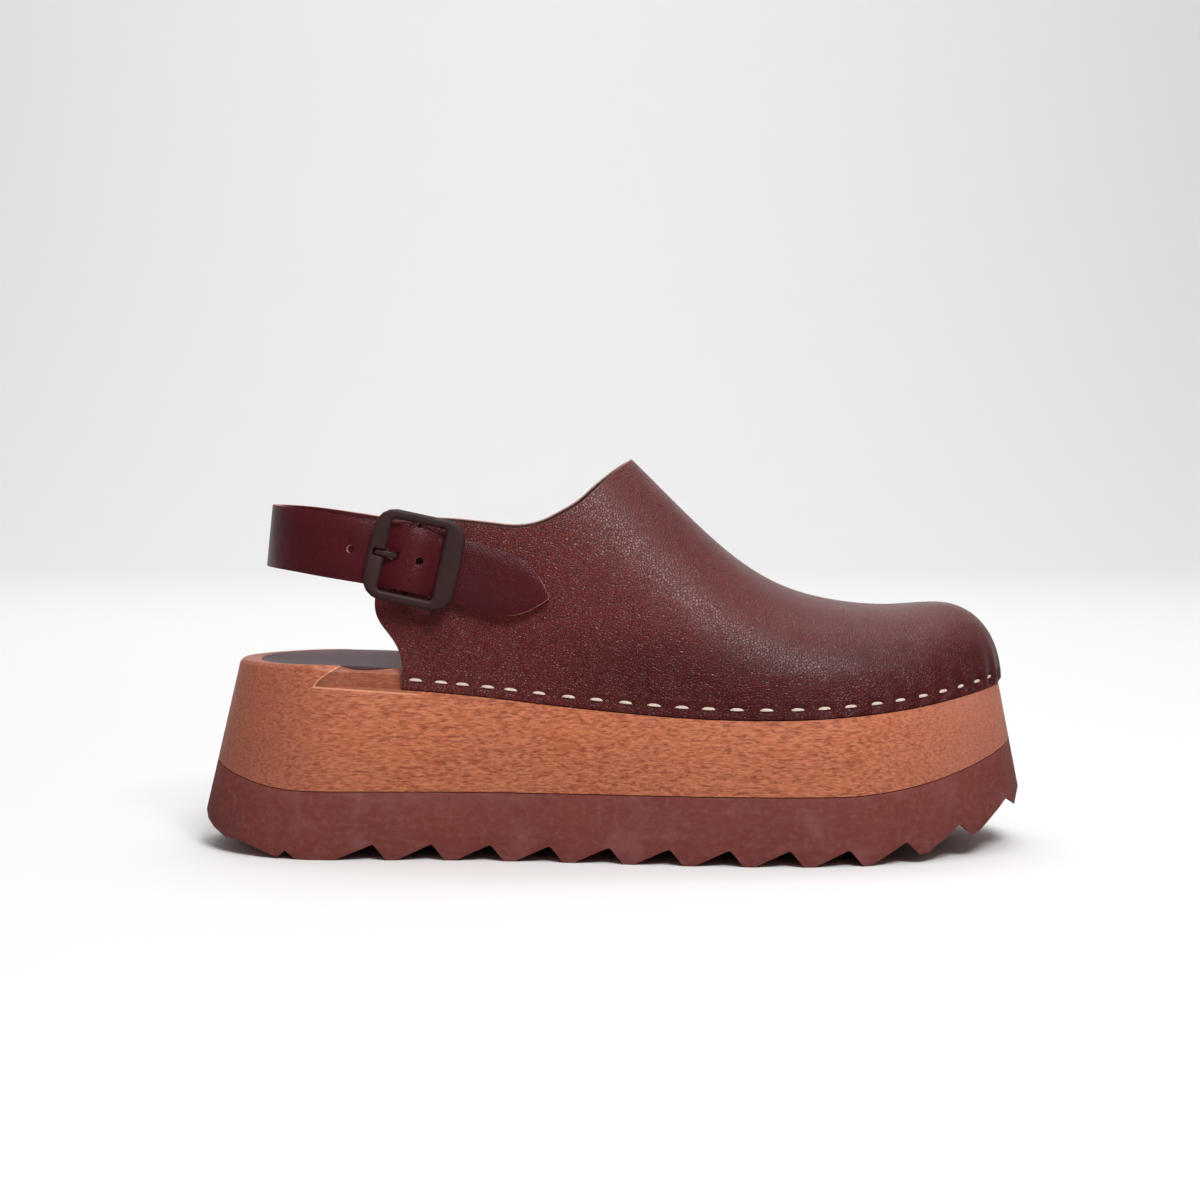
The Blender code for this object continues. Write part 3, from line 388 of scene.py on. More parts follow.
def make_fibre_group():
    """Wood fibres along X: fine flecks with their height, and broad soft bands."""
    group, start, end = new_group(
        "wood_fibres",
        (("Vector", VECTOR, None), ("Length", FLOAT, 260.0), ("Fineness", FLOAT, 1500.0)),
        (("Flecks", FLOAT), ("Bands", FLOAT), ("Height", FLOAT)),
    )
    join = add(group, "ShaderNodeCombineXYZ")
    stretch = add(group, "ShaderNodeVectorMath", operation="MULTIPLY")
    fine = add(group, "ShaderNodeTexNoise", Scale=1.0, Detail=4.0, Roughness=0.6, Distortion=0.25)
    flecks = add(group, "ShaderNodeMapRange", interpolation_type="SMOOTHSTEP")
    flecks.inputs["From Min"].default_value = 0.44
    flecks.inputs["From Max"].default_value = 0.60
    squeeze = add(group, "ShaderNodeVectorMath", operation="MULTIPLY")
    squeeze.inputs[1].default_value = (5.0, 40.0, 90.0)
    bands = add(group, "ShaderNodeTexNoise", Scale=1.0, Detail=3.0, Roughness=0.5, Distortion=0.6)
    spread = add(group, "ShaderNodeMapRange", interpolation_type="SMOOTHSTEP")
    spread.inputs["From Min"].default_value = 0.3
    spread.inputs["From Max"].default_value = 0.7
    wire(group, start.outputs["Length"], join.inputs["X"])
    wire(group, start.outputs["Fineness"], join.inputs["Y"])
    wire(group, start.outputs["Fineness"], join.inputs["Z"])
    wire(group, start.outputs["Vector"], stretch.inputs[0])
    wire(group, join.outputs[0], stretch.inputs[1])
    wire(group, stretch.outputs[0], fine.inputs["Vector"])
    wire(group, fine.outputs["Fac"], flecks.inputs["Value"])
    wire(group, start.outputs["Vector"], squeeze.inputs[0])
    wire(group, squeeze.outputs[0], bands.inputs["Vector"])
    wire(group, bands.outputs["Fac"], spread.inputs["Value"])
    wire(group, flecks.outputs["Result"], end.inputs["Flecks"])
    wire(group, spread.outputs["Result"], end.inputs["Bands"])
    wire(group, fine.outputs["Fac"], end.inputs["Height"])
    return group


MOTTLE = make_mottle_group()
GRAIN = make_grain_group()
FIBRES = make_fibre_group()


def new_look(name, roughness, **sockets):
    """A Principled material; its constants sit on the shader's own sockets."""
    look = bpy.data.materials.new(name)
    look.use_nodes = True
    tree = look.node_tree
    shader = tree.nodes["Principled BSDF"]
    shader.inputs["Roughness"].default_value = roughness
    for key, value in sockets.items():
        shader.inputs[key.replace("_", " ")].default_value = value
    place = add(tree, "ShaderNodeTexCoord").outputs["Object"]
    return look, tree, shader, place


def use(tree, group, place, **values):
    """Places a node group on Object coordinates, with its own values."""
    node = add(tree, "ShaderNodeGroup", node_tree=group)
    for key, value in values.items():
        node.inputs[key].default_value = value
    wire(tree, place, node.inputs["Vector"])
    return node


def blend(tree, share, first, second, mode="MIX"):
    """Mix of two colours, each a colour or a socket, by a share that is a number or a socket."""
    mix = add(tree, "ShaderNodeMix", data_type="RGBA", blend_type=mode)
    for socket, value in ((mix.inputs[0], share), (mix.inputs[6], first), (mix.inputs[7], second)):
        if isinstance(value, bpy.types.NodeSocket):
            wire(tree, value, socket)
        elif socket.type == "RGBA":
            socket.default_value = (*value, 1.0)
        else:
            socket.default_value = value
    return mix.outputs[2]


def spread(tree, value, low, high, to_low=0.0, to_high=1.0):
    """A number moved smoothly from one range to another."""
    node = add(tree, "ShaderNodeMapRange", interpolation_type="SMOOTHSTEP")
    wire(tree, value, node.inputs["Value"])
    limits = {"From Min": low, "From Max": high, "To Min": to_low, "To Max": to_high}
    for label, number in limits.items():
        node.inputs[label].default_value = number
    return node.outputs["Result"]


def times(tree, first, second, operation="MULTIPLY"):
    """A math node of two values, each a number or a socket."""
    node = add(tree, "ShaderNodeMath", operation=operation)
    for socket, value in zip(node.inputs, (first, second)):
        if isinstance(value, bpy.types.NodeSocket):
            wire(tree, value, socket)
        else:
            socket.default_value = value
    return node.outputs[0]


def add_up(tree, first, second):
    return times(tree, first, second, "ADD")


def add_bump(tree, shader, height, strength, distance, under=None):
    """Bump that feeds the shader, over another bump if given."""
    bump = add(tree, "ShaderNodeBump")
    bump.inputs["Strength"].default_value = strength
    bump.inputs["Distance"].default_value = distance
    wire(tree, height, bump.inputs["Height"])
    if under is not None:
        wire(tree, under, bump.inputs["Normal"])
    wire(tree, bump.outputs["Normal"], shader.inputs["Normal"])
    return bump.outputs["Normal"]


def split(tree, place):
    node = add(tree, "ShaderNodeSeparateXYZ")
    wire(tree, place, node.inputs[0])
    return node.outputs


def make_upper_leather():
    """Oiled red-brown leather: pebbled grain, browner patches, and painted shade, deep burgundy low on
    the flank.
    """
    look, tree, shader, place = new_look("upper_leather", 0.34, Specular_IOR_Level=0.42)
    cloud = use(tree, MOTTLE, place, Scale=16.0, Low=0.35, High=0.68)
    fine = use(tree, MOTTLE, place, Scale=160.0, Low=0.3, High=0.7)
    grain = use(tree, GRAIN, place, Scale=1120.0, Pores=0.35)
    x, y, z = split(tree, place)
    tone = blend(tree, cloud.outputs["Value"], (0.160, 0.0190, 0.0140), (0.128, 0.0105, 0.0105))
    # Painted shade: the lower flank towards the toe turns under, away from the lights, and is darkened
    # to deep burgundy.
    low = times(tree, spread(tree, z, 0.078, 0.062), spread(tree, x, -0.05, 0.03))
    tone = blend(tree, times(tree, low, 0.85), tone, (0.078, 0.0010, 0.0045))
    tone = blend(tree, times(tree, fine.outputs["Value"], 0.22), tone, (0.210, 0.045, 0.036))
    tone = blend(tree, times(tree, grain.outputs["Creases"], 0.72), tone, (0.030, 0.003, 0.004))
    wire(tree, tone, shader.inputs["Base Color"])
    wire(tree, spread(tree, cloud.outputs["Value"], 0.0, 1.0, 0.31, 0.38), shader.inputs["Roughness"])
    broad = use(tree, MOTTLE, place, Scale=70.0, Low=0.2, High=0.8)
    soft = add_bump(tree, shader, broad.outputs["Value"], 0.25, 0.0005)
    add_bump(tree, shader, grain.outputs["Height"], 0.9, 0.00018, soft)
    return look


def make_strap_leather():
    """Smoother burgundy leather with a satin finish."""
    look, tree, shader, place = new_look("strap_leather", 0.34, Specular_IOR_Level=0.30)
    cloud = use(tree, MOTTLE, place, Scale=34.0, Low=0.3, High=0.7)
    grain = use(tree, GRAIN, place, Scale=1250.0, Pores=0.5)
    tone = blend(tree, cloud.outputs["Value"], (0.094, 0.0070, 0.0115), (0.072, 0.0055, 0.0090))
    tone = blend(tree, times(tree, grain.outputs["Creases"], 0.45), tone, (0.030, 0.005, 0.007))
    wire(tree, tone, shader.inputs["Base Color"])
    wire(tree, spread(tree, cloud.outputs["Value"], 0.0, 1.0, 0.32, 0.40), shader.inputs["Roughness"])
    broad = use(tree, MOTTLE, place, Scale=150.0, Low=0.2, High=0.8)
    soft = add_bump(tree, shader, broad.outputs["Value"], 0.3, 0.0004)
    add_bump(tree, shader, grain.outputs["Height"], 0.6, 0.00012, soft)
    return look


def make_raw_edge(name, light, dark):
    """Cut edge of the leather, paler than its face and fibrous; with dark colours the same make gives
    painted shade.
    """
    look, tree, shader, place = new_look(name, 0.8)
    fibres = use(tree, MOTTLE, place, Scale=900.0, Low=0.3, High=0.7)
    patches = use(tree, MOTTLE, place, Scale=220.0, Low=0.4, High=0.7)
    tone = blend(tree, fibres.outputs["Value"], light, dark)
    tone = blend(tree, times(tree, patches.outputs["Value"], 0.55), tone, dark)
    wire(tree, tone, shader.inputs["Base Color"])
    add_bump(tree, shader, fibres.outputs["Value"], 0.6, 0.0002)
    return look


def make_flesh_side():
    """Unlined inner side of the leather, with a short nap."""
    look, tree, shader, place = new_look("flesh_side", 0.85, Sheen_Weight=0.25)
    nap = use(tree, MOTTLE, place, Scale=700.0, Low=0.3, High=0.7)
    cloud = use(tree, MOTTLE, place, Scale=40.0, Low=0.35, High=0.65)
    tone = blend(tree, cloud.outputs["Value"], (0.115, 0.034, 0.030), (0.085, 0.026, 0.026))
    tone = blend(tree, times(tree, nap.outputs["Value"], 0.4), tone, (0.060, 0.018, 0.018))
    wire(tree, tone, shader.inputs["Base Color"])
    add_bump(tree, shader, nap.outputs["Value"], 0.6, 0.0003)
    return look


def make_sock_leather():
    """Grey-purple satin sock leather."""
    look, tree, shader, place = new_look("sock_leather", 0.50, Specular_IOR_Level=0.25)
    cloud = use(tree, MOTTLE, place, Scale=45.0, Low=0.3, High=0.7)
    grain = use(tree, GRAIN, place, Scale=1300.0, Pores=0.6)
    tone = blend(tree, cloud.outputs["Value"], (0.110, 0.052, 0.056), (0.085, 0.040, 0.044))
    tone = blend(tree, times(tree, grain.outputs["Creases"], 0.2), tone, (0.030, 0.017, 0.021))
    wire(tree, tone, shader.inputs["Base Color"])
    add_bump(tree, shader, grain.outputs["Height"], 0.35, 0.00010)
    return look


def narrow_line(tree, distance, reach):
    """A thin painted line where a distance is near nought; reach is its half width squared."""
    return spread(tree, times(tree, distance, distance), reach, LINE_CORE)


def paint_ledge(tree, tone, place, speckle):
    """The milled ledge behind each wing: speckled and darkened by painted shade of the recess, darkest
    in its curved end, with pale edges.
    """
    x, y, z = place
    aside = spread(tree, times(tree, y, y), MILL_INSIDE ** 2, MILL_OUTSIDE ** 2)
    worked = times(tree, aside, spread(tree, x, MILL_FRONT + MM, MILL_FRONT))
    shelf = add_up(tree, times(tree, x, MILL_SLOPE), MILL_LEVEL)
    rise = add_up(tree, z, times(tree, shelf, -1.0))
    lean = add_up(tree, times(tree, rise, -MILL_LEAN), times(tree, times(tree, rise, rise), -MILL_BEND))
    past = add_up(tree, add_up(tree, x, lean), -MILL_BACK)
    # Painted shade: the recessed cut darker, its strength speckled like milled wood.
    cut = times(tree, spread(tree, past, 0.0, MILL_SOFT), spread(tree, rise, 0.0, MILL_SOFT))
    cut = times(tree, cut, worked)
    strength = add_up(tree, 0.50, times(tree, speckle, 0.45))
    tone = blend(tree, times(tree, cut, strength), tone, (0.25, 0.062, 0.026))
    # Painted shade: darkest in the concave curved end of the cut.
    corner = times(tree, cut, spread(tree, past, MILL_CORNER, 0.0))
    tone = blend(tree, times(tree, corner, 0.6), tone, (0.17, 0.040, 0.020))
    shelf_line = times(tree, narrow_line(tree, rise, SHELF_LINE), spread(tree, past, -MILL_FADE, 0.0))
    end_line = times(tree, narrow_line(tree, past, END_LINE), spread(tree, rise, -MILL_FADE, 0.0))
    lines = times(tree, add_up(tree, shelf_line, end_line), worked)
    return blend(tree, times(tree, lines, 0.75), tone, (0.80, 0.340, 0.180))


def make_wood(name, pale):
    """Stained wood: short fibres along the foot, soft bands, ends painted pinker by the side light, a
    painted highlight on the toe end's top, and the milled ledge's cut with its painted shade.
    """
    look, tree, shader, place = new_look(name, 0.52)
    fibres = use(tree, FIBRES, place, Length=300.0, Fineness=1350.0)
    long = use(tree, FIBRES, place, Length=60.0, Fineness=900.0)
    glints = use(tree, FIBRES, place, Length=390.0, Fineness=1900.0)
    cloud = use(tree, MOTTLE, place, Scale=22.0, Low=0.3, High=0.72)
    speck = use(tree, MOTTLE, place, Scale=620.0, Low=0.50, High=0.72)
    x, y, z = split(tree, place)
    tone = blend(tree, fibres.outputs["Bands"], (0.43, 0.094, 0.028), (0.51, 0.121, 0.040))
    tone = blend(tree, times(tree, cloud.outputs["Value"], 0.5), tone, (0.47, 0.140, 0.068))
    tone = blend(tree, times(tree, fibres.outputs["Flecks"], 0.8), tone, (0.23, 0.038, 0.011))
    tone = blend(tree, times(tree, long.outputs["Flecks"], 0.20), tone, (0.66, 0.215, 0.095))
    tone = blend(tree, times(tree, glints.outputs["Flecks"], 0.45), tone, (0.76, 0.280, 0.135))
    # Painted light and shade: both ends pinker where the side lights fall on them, the toe end paler and
    # the heel end darker.
    tone = blend(tree, times(tree, spread(tree, x, 0.070, 0.128), 0.55), tone, (0.42, 0.145, 0.105))
    tone = blend(tree, times(tree, spread(tree, x, -0.078, -0.122), 0.5), tone, (0.30, 0.083, 0.060))
    # Painted highlight: pale patches on the top of the toe end, which faces up to the lights.
    toe_top_highlight = times(tree, spread(tree, x, 0.080, 0.125), spread(tree, z, 0.038, 0.056))
    toe_top_highlight = times(tree, toe_top_highlight, times(tree, cloud.outputs["Value"], 0.6))
    tone = blend(tree, toe_top_highlight, tone, (0.60, 0.270, 0.200))
    tone = paint_ledge(tree, tone, (x, y, z), speck.outputs["Value"])
    if pale:
        tone = blend(tree, 0.7, tone, (0.66, 0.300, 0.200))
    wire(tree, tone, shader.inputs["Base Color"])
    wire(tree, spread(tree, fibres.outputs["Flecks"], 0.0, 1.0, 0.46, 0.60), shader.inputs["Roughness"])
    add_bump(tree, shader, fibres.outputs["Height"], 0.35, 0.0002)
    return look


def make_rubber():
    """Matt moulded rubber with dusty, slightly paler scuffs."""
    look, tree, shader, place = new_look("brown_rubber", 0.62, Specular_IOR_Level=0.35)
    cloud = use(tree, MOTTLE, place, Scale=26.0, Low=0.3, High=0.72)
    dust = use(tree, MOTTLE, place, Scale=500.0, Low=0.45, High=0.75)
    sanded = use(tree, FIBRES, place, Length=120.0, Fineness=700.0)
    tone = blend(tree, cloud.outputs["Value"], (0.185, 0.035, 0.026), (0.162, 0.031, 0.024))
    tone = blend(tree, times(tree, sanded.outputs["Flecks"], 0.22), tone, (0.215, 0.072, 0.060))
    tone = blend(tree, times(tree, dust.outputs["Value"], 0.30), tone, (0.290, 0.105, 0.088))
    smudge = use(tree, MOTTLE, place, Scale=75.0, Low=0.5, High=0.72)
    tone = blend(tree, times(tree, smudge.outputs["Value"], 0.30), tone, (0.275, 0.115, 0.105))
    wire(tree, tone, shader.inputs["Base Color"])
    add_bump(tree, shader, dust.outputs["Value"], 0.3, 0.00015)
    return look


def make_coated_metal():
    """Matt dark brown coating with a fine orange-peel surface."""
    look, tree, shader, place = new_look("coated_metal", 0.42, Specular_IOR_Level=0.22)
    peel = use(tree, MOTTLE, place, Scale=900.0, Low=0.2, High=0.8)
    cloud = use(tree, MOTTLE, place, Scale=120.0, Low=0.3, High=0.7)
    tone = blend(tree, cloud.outputs["Value"], (0.044, 0.019, 0.018), (0.036, 0.015, 0.0150))
    wire(tree, tone, shader.inputs["Base Color"])
    wire(tree, spread(tree, cloud.outputs["Value"], 0.0, 1.0, 0.42, 0.50), shader.inputs["Roughness"])
    add_bump(tree, shader, peel.outputs["Value"], 0.25, 0.0001)
    return look


def make_thread():
    """Waxed cream thread."""
    look, tree, shader, place = new_look("cream_thread", 0.6)
    twist = use(tree, MOTTLE, place, Scale=1600.0, Low=0.3, High=0.7)
    tone = blend(tree, times(tree, twist.outputs["Value"], 0.6), (0.84, 0.68, 0.56), (0.62, 0.46, 0.36))
    wire(tree, tone, shader.inputs["Base Color"])
    add_bump(tree, shader, twist.outputs["Value"], 0.6, 0.0002)
    return look


LEATHER = make_upper_leather()
STRAP = make_strap_leather()
RAW_COLLAR = make_raw_edge("raw_edge_collar", (0.52, 0.310, 0.215), (0.26, 0.110, 0.080))
RAW_STRAP = make_raw_edge("raw_edge_strap", (0.68, 0.340, 0.280), (0.42, 0.160, 0.130))
# Painted shade: the downward-facing bottom edge of the upper, dark as the shadow under the leather's
# lip.
UNDERSIDE_SHADE_EDGE = make_raw_edge("dyed_edge", (0.120, 0.034, 0.030), (0.060, 0.014, 0.014))
FLESH = make_flesh_side()
SOCK = make_sock_leather()
WOOD = make_wood("stained_wood", pale=False)
WORN_WOOD = make_wood("worn_wood", pale=True)
RUBBER = make_rubber()
METAL = make_coated_metal()
THREAD = make_thread()
# Painted shade round the stitches: near-black.
GROOVE_SHADE = make_raw_edge("groove_shadow", (0.020, 0.004, 0.004), (0.010, 0.002, 0.002))

# Pieces that are their CAD solid with rounded edges; the angles are degrees
PLAIN_PIECES = (
    ("node", "name", "slot", "looks", "width", "edge", "soft", "segments", "worn", "cut_edges"),
    ("wood_sole", "carved_wood", "wood", (WOOD, WORN_WOOD), 0.0004, 32.0, 30.0, 2, 1, False),
    ("outsole", "rubber_outsole", "rubber", (RUBBER,), 0.0006, 24.0, 30.0, 3, -1, False),
    ("insole", "sock_lining", "sock", (SOCK,), 0.0004, 45.0, 35.0, 2, -1, False),
    ("heel_strap", "leather_strap", "strap", (STRAP, RAW_STRAP), 0.0005, 40.0, 40.0, 2, 1, True),
    ("buckle_frame", "coated_frame", "metal", (METAL,), 0.00025, 28.0, 35.0, 2, -1, False),
    ("buckle_prong", "coated_prong", "metal", (METAL,), 0.00025, 28.0, 35.0, 2, -1, False),
    ("strap_rivet", "rivet", "metal", (METAL,), 0.00025, 28.0, 35.0, 2, -1, False),
)


def border_of(piece, outside):
    """The upper's lower outer edge, as a chain from the outer wing round the toe to the inner wing."""
    bm = bmesh.new()
    bm.from_mesh(piece.data)
    bm.faces.ensure_lookup_table()
    links = {}
    for edge in bm.edges:
        faces = edge.link_faces
        if len(faces) != 2 or outside[faces[0].index] == outside[faces[1].index]:
            continue
        under = faces[1] if outside[faces[0].index] else faces[0]
        if under.normal.z > UNDERSIDE:
            continue
        for a, b in (edge.verts, reversed(edge.verts)):
            links.setdefault(a, []).append(b)
    ends = [vert for vert, near in links.items() if len(near) == 1]
    vert = min(ends, key=lambda one: one.co.y)
    chain = [vert]
    while vert is not None:
        onward = [near for near in links[vert] if near not in chain]
        vert = onward[0] if onward else None
        if vert is not None:
            chain.append(vert)
    points = np.array([one.co[:] for one in chain])
    bm.free()
    return points


def lengths(points):
    """Distance run along a path at each of its points."""
    steps = np.linalg.norm(np.diff(points, axis=0), axis=1)
    return np.concatenate(([0.0], np.cumsum(steps)))


def at_length(points, run, place):
    """Points of a path at given distances along it."""
    return np.array([np.interp(place, run, points[:, axis]) for axis in range(3)])


def stitch_places(run):
    """Lengths along the border where stitches sit: read off the photo on the outer side, then even."""
    places = [FIRST_STITCH]
    for step in STITCH_STEPS:
        places.append(places[-1] + step * MM)
    end = run[-1] - FIRST_STITCH
    rest = end - places[-1]
    count = round(rest / STITCH_PITCH)
    start = places[-1]
    for number in range(1, count + 1):
        places.append(start + rest * number / count)
    return np.array(places)


def shape_margin(piece, border, run, places):
    """Dents under the stitches, puffs beside them and pull pleats that grow towards the toe."""
    points = corners(piece)
    directions = normals(piece)
    dense = np.linspace(0.0, run[-1], BORDER_STEPS)
    path = np.column_stack([np.interp(dense, run, border[:, axis]) for axis in range(3)])
    tree = KDTree(len(path))
    for number, point in enumerate(path):
        tree.insert((point[0], point[1], 0.0), number)
    tree.balance()
    outer = np.zeros(len(points), bool)
    for polygon in piece.data.polygons:
        if polygon.material_index == 0:
            outer[list(polygon.vertices)] = True
    near = np.array([tree.find((p[0], p[1], 0.0))[1] for p in points])
    length = dense[near]
    height = points[:, 2] - path[near, 2]
    gaps = np.abs(length[:, None] - places[None, :])
    closest = gaps.min(axis=1)
    order = np.sort(gaps, axis=1)
    pitch = order[:, 0] + order[:, 1]
    wave = np.cos(2.0 * math.pi * closest / np.maximum(pitch, STITCH_LENGTH))
    toe = ease((points[:, 0] - PLEAT_START) / (PLEAT_FULL - PLEAT_START))
    rise = PLEAT_RISE + PLEAT_RISE_TOE * toe
    fade = np.exp(-np.maximum(height - STITCH_HEIGHT, 0.0) / rise)
    dent = bump_of(closest, DENT_LENGTH) * bump_of(height - STITCH_HEIGHT, DENT_HEIGHT)
    puff = bump_of(height - STITCH_HEIGHT - PUFF_ABOVE, DENT_HEIGHT) * bump_of(closest, PUFF_LENGTH)
    low = bump_of(height - LIP_HEIGHT, DENT_HEIGHT) * bump_of(closest, LIP_LENGTH)
    move = STITCH_PUFF * (puff + LIP_SHARE * low) - STITCH_DENT * dent
    pleat = PLEAT_DEPTH * (PLEAT_LEAST + (1.0 - PLEAT_LEAST) * toe)
    move -= pleat * wave * fade * ease(height / EDGE_EASE)
    move[~outer | (height > MARGIN_TOP)] = 0.0
    move_corners(piece, points + directions * move[:, None])


def make_upper():
    """Leather upper: a subdivided copy of its CAD shell with its margin drawn in by the stitches."""
    piece = worked_copy("upper", "leather_upper", "leather")
    join_quads(piece)
    label = skins(piece)
    middle = np.array([polygon.center[:] for polygon in piece.data.polygons])
    outer_skin = label[int(np.argmax(middle[:, 0] + 0.001 * middle[:, 2]))]
    inner_skin = 1 - outer_skin
    facing = np.array([polygon.normal[:] for polygon in piece.data.polygons])
    slots = np.full(len(label), 2)
    slots[label == outer_skin] = 0
    slots[label == inner_skin] = 1
    # The downward-facing edge faces take the painted shade.
    slots[(label > 1) & (facing[:, 2] < UNDERSIDE)] = 3
    border = border_of(piece, label == outer_skin)
    run = lengths(border)
    places = stitch_places(run)
    set_looks(piece, (LEATHER, FLESH, RAW_COLLAR, UNDERSIDE_SHADE_EDGE), slots)
    crease_sharp(piece, SHARP, EDGE_CREASE)
    add_modifier(piece, "SUBSURF", levels=UPPER_LEVELS, render_levels=UPPER_LEVELS)
    divide_margin(piece)
    shape_margin(piece, border, run, places)
    smooth(piece, math.radians(60.0))
    return piece, border, run, places


def in_margin(face):
    """Whether a face of the upper lies low enough on its outside to carry the pleats."""
    middle = face.calc_center_median()
    level = MARGIN_LEVEL - MARGIN_FALL * max(0.0, middle.x - MARGIN_FALL_FROM)
    top = max(level, MARGIN_LOWEST) + PLEAT_ZONE
    return face.material_index == 0 and middle.z < top


def divide_margin(piece):
    """Divides the faces of the stitched margin once more."""
    edit(piece)
    pick(piece, "faces", in_margin)
    bpy.ops.mesh.subdivide(number_cuts=1, smoothness=0.0)
    close_edit()


def make_stitches(upper, border, run, places):
    """Half-moon stitches, each over a sunk dark ellipsoid of painted shade: one is modelled, then copied
    to each place.
    """
    mesh = upper.data
    skin = BVHTree.FromPolygons([v.co[:] for v in mesh.vertices], [p.vertices[:] for p in mesh.polygons])
    bpy.ops.object.select_all(action="DESELECT")
    bpy.ops.mesh.primitive_uv_sphere_add(segments=14, ring_count=9, radius=0.5)
    model = bpy.context.object
    model.name = "stitch_model"
    edit(model, "VERT")
    bpy.ops.mesh.select_all(action="SELECT")
    bpy.ops.transform.resize(value=STITCH_SIZE, center_override=(0, 0, 0))
    bpy.ops.mesh.select_all(action="DESELECT")
    pick(model, "verts", lambda vert: vert.co.z < -MERGE)
    bpy.ops.transform.resize(value=(1.0, 1.0, STITCH_FLAT), center_override=(0, 0, 0))
    close_edit()
    layers = ((THREAD, 0.0, Vector((1.0, 1.0, 1.0))), (GROOVE_SHADE, GROOVE_SINK, GROOVE_SIZE))
    made = []
    for number, place in enumerate(places):
        here = at_length(border, run, place)
        ahead = at_length(border, run, place + MM) - at_length(border, run, place - MM)
        ahead /= np.linalg.norm(ahead)
        out = np.array((ahead[1], -ahead[0], 0.0))
        out /= np.linalg.norm(out)
        start = here + out * PROBE_START + np.array((0.0, 0.0, STITCH_HEIGHT))
        hit, facing, _, _ = skin.ray_cast(Vector(start), Vector(-out))
        if hit is None:
            continue
        out = np.array(facing)
        up = np.cross(out, ahead)
        up /= np.linalg.norm(up)
        if up[2] < 0.0:
            up = -up
        along = np.cross(up, out)
        along /= np.linalg.norm(along)
        spot = np.array(hit) + out * STITCH_SINK - up * STITCH_LOWER
        turn = Matrix((
            (along[0], out[0], up[0], spot[0]),
            (along[1], out[1], up[1], spot[1]),
            (along[2], out[2], up[2], spot[2]),
            (0.0, 0.0, 0.0, 1.0),
        ))
        for look, depth, size in layers:
            one = model.copy()
            one.data = model.data.copy()
            one.data.transform(Matrix.Diagonal(size).to_4x4())
            one.data.transform(Matrix.Translation(Vector(out) * -depth) @ turn)
            set_looks(one, (look,))
            one.name = f"stitch_{number}"
            bpy.context.scene.collection.objects.link(one)
            made.append(one)
    bpy.data.objects.remove(model)
    only(made[0])
    for one in made:
        one.select_set(True)
    bpy.ops.object.join()
    stitches = bpy.context.object
    stitches.name = "stitches"
    edit(stitches)
    bpy.ops.mesh.select_all(action="SELECT")
    bpy.ops.mesh.normals_make_consistent(inside=False)
    close_edit()
    bpy.ops.object.shade_smooth()
    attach(stitches, BODY)


def make_plain(node, name, slot, looks, width, edge, soft, segments, worn, cut_edges):
    """A copy of a CAD node with rounded edges, which may be worn, and with raw cut edges on a strap."""
    piece = worked_copy(node, name, slot)
    slots = np.where(skins(piece, math.radians(edge)) > 1, 1, 0) if cut_edges else None
    set_looks(piece, looks, slots)
    round_edges(piece, width, math.radians(edge), segments, worn)
    smooth(piece, math.radians(soft))


def make_backdrop():
    """Pale floor that curves up into the backdrop."""
    bpy.ops.object.select_all(action="DESELECT")
    bpy.ops.mesh.primitive_plane_add(size=1.0)
    floor = bpy.context.object
    floor.name = "studio_floor"
    depth = FLOOR_BACK - FLOOR_FRONT
    edit(floor, "VERT")
    bpy.ops.mesh.select_all(action="SELECT")
    bpy.ops.transform.resize(value=(FLOOR_WIDTH, depth, 1.0), center_override=(0, 0, 0))
    bpy.ops.transform.translate(value=(0.0, (FLOOR_BACK + FLOOR_FRONT) / 2.0, 0.0))
    bpy.ops.mesh.select_mode(type="EDGE")
    bpy.ops.mesh.select_all(action="DESELECT")
    pick(floor, "edges", lambda edge: all(vert.co.y > FLOOR_BACK - MM for vert in edge.verts))
    bpy.ops.mesh.extrude_region_move(TRANSFORM_OT_translate={"value": (0.0, 0.0, WALL_HEIGHT)})
    bpy.ops.mesh.select_all(action="DESELECT")
    pick(floor, "edges", lambda edge: all(v.co.y > FLOOR_BACK - MM and v.co.z < MM for v in edge.verts))
    bpy.ops.mesh.bevel(offset=COVE_RADIUS, segments=COVE_STEPS, affect="EDGES")
    close_edit()
    bpy.ops.object.shade_smooth()
    floor.data.materials.append(make_paper())


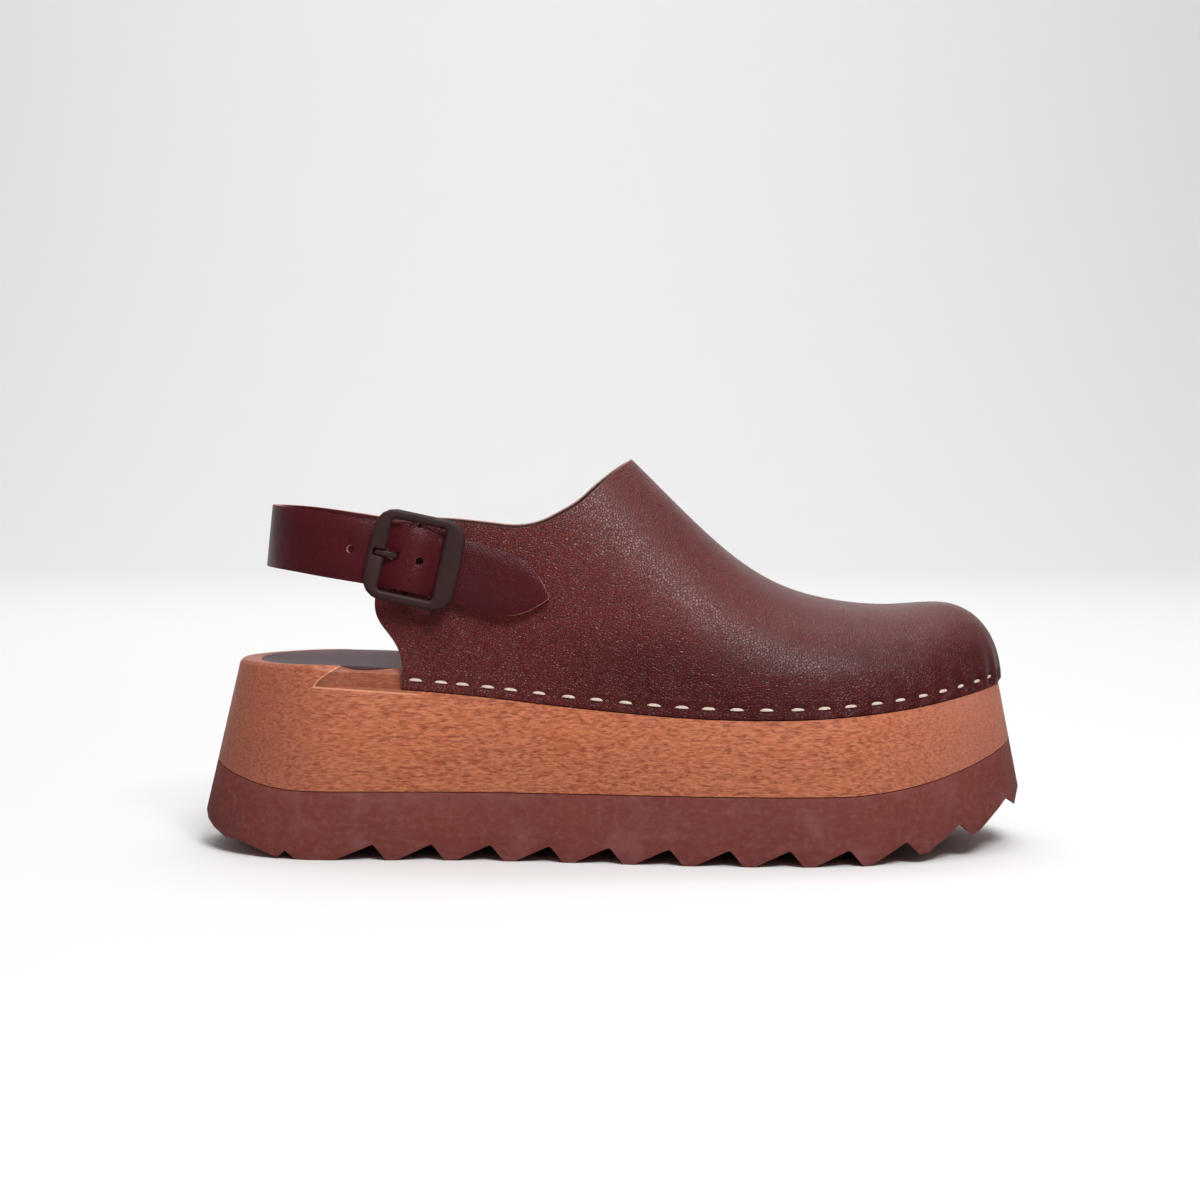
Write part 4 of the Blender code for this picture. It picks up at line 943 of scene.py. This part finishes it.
def make_paper():
    """Backdrop paper; in front of the shoe, reflections see it as dark as a flagged studio."""
    paper = bpy.data.materials.new("studio_paper")
    paper.use_nodes = True
    shader = paper.node_tree.nodes["Principled BSDF"]
    tree = paper.node_tree
    rays = add(tree, "ShaderNodeLightPath")
    place = add(tree, "ShaderNodeTexCoord").outputs["Object"]
    front = spread(tree, split(tree, place)["Y"], FLAG_END, FLAG_FULL)
    flagged = times(tree, rays.outputs["Is Glossy Ray"], front)
    wire(tree, blend(tree, flagged, PAPER, FLAGGED_PAPER), shader.inputs["Base Color"])
    shader.inputs["Roughness"].default_value = 0.9
    shader.inputs["Specular IOR Level"].default_value = 0.2
    return paper


def make_sky():
    """Soft sky from above, dark at the sides, that the camera sees as pale as the backdrop."""
    world = bpy.data.worlds.new("studio_sky")
    world.use_nodes = True
    tree = world.node_tree
    heading = add(tree, "ShaderNodeTexCoord").outputs["Generated"]
    rise = spread(tree, split(tree, heading)["Z"], 0.0, SKY_FULL)
    seen = add(tree, "ShaderNodeLightPath").outputs["Is Camera Ray"]
    dome = blend(tree, rise, SKY_SIDE, SKY_TOP)
    wire(tree, blend(tree, seen, dome, SKY_SEEN), tree.nodes["Background"].inputs["Color"])
    bpy.context.scene.world = world


def make_lights():
    """The soft round lights of the studio."""
    for name, place, aim, size, power in LIGHTS[1:]:
        light = bpy.data.lights.new(name, "AREA")
        light.shape = "DISK"
        light.size = size
        light.energy = power
        lamp = bpy.data.objects.new(name, light)
        lamp.location = place
        lamp.rotation_euler = (Vector(aim) - Vector(place)).to_track_quat("-Z", "Y").to_euler()
        bpy.context.scene.collection.objects.link(lamp)


def make_camera():
    """The photo's camera: level, seen from the outer side."""
    lens = bpy.data.cameras.new("photo_camera")
    lens.lens = CAMERA_LENS
    lens.sensor_width = SENSOR
    lens.shift_x, lens.shift_y = CAMERA_SHIFT
    lens.clip_start = 0.01
    camera = bpy.data.objects.new("photo_camera", lens)
    camera.location = CAMERA_PLACE
    camera.rotation_euler = (math.pi / 2.0, 0.0, 0.0)
    bpy.context.scene.collection.objects.link(camera)
    bpy.context.scene.camera = camera


bpy.context.scene.view_settings.view_transform = "Standard"
make_backdrop()
make_sky()
make_lights()
make_camera()
upper, border, run, places = make_upper()
make_stitches(upper, border, run, places)
for row in PLAIN_PIECES[1:]:
    make_plain(*row)
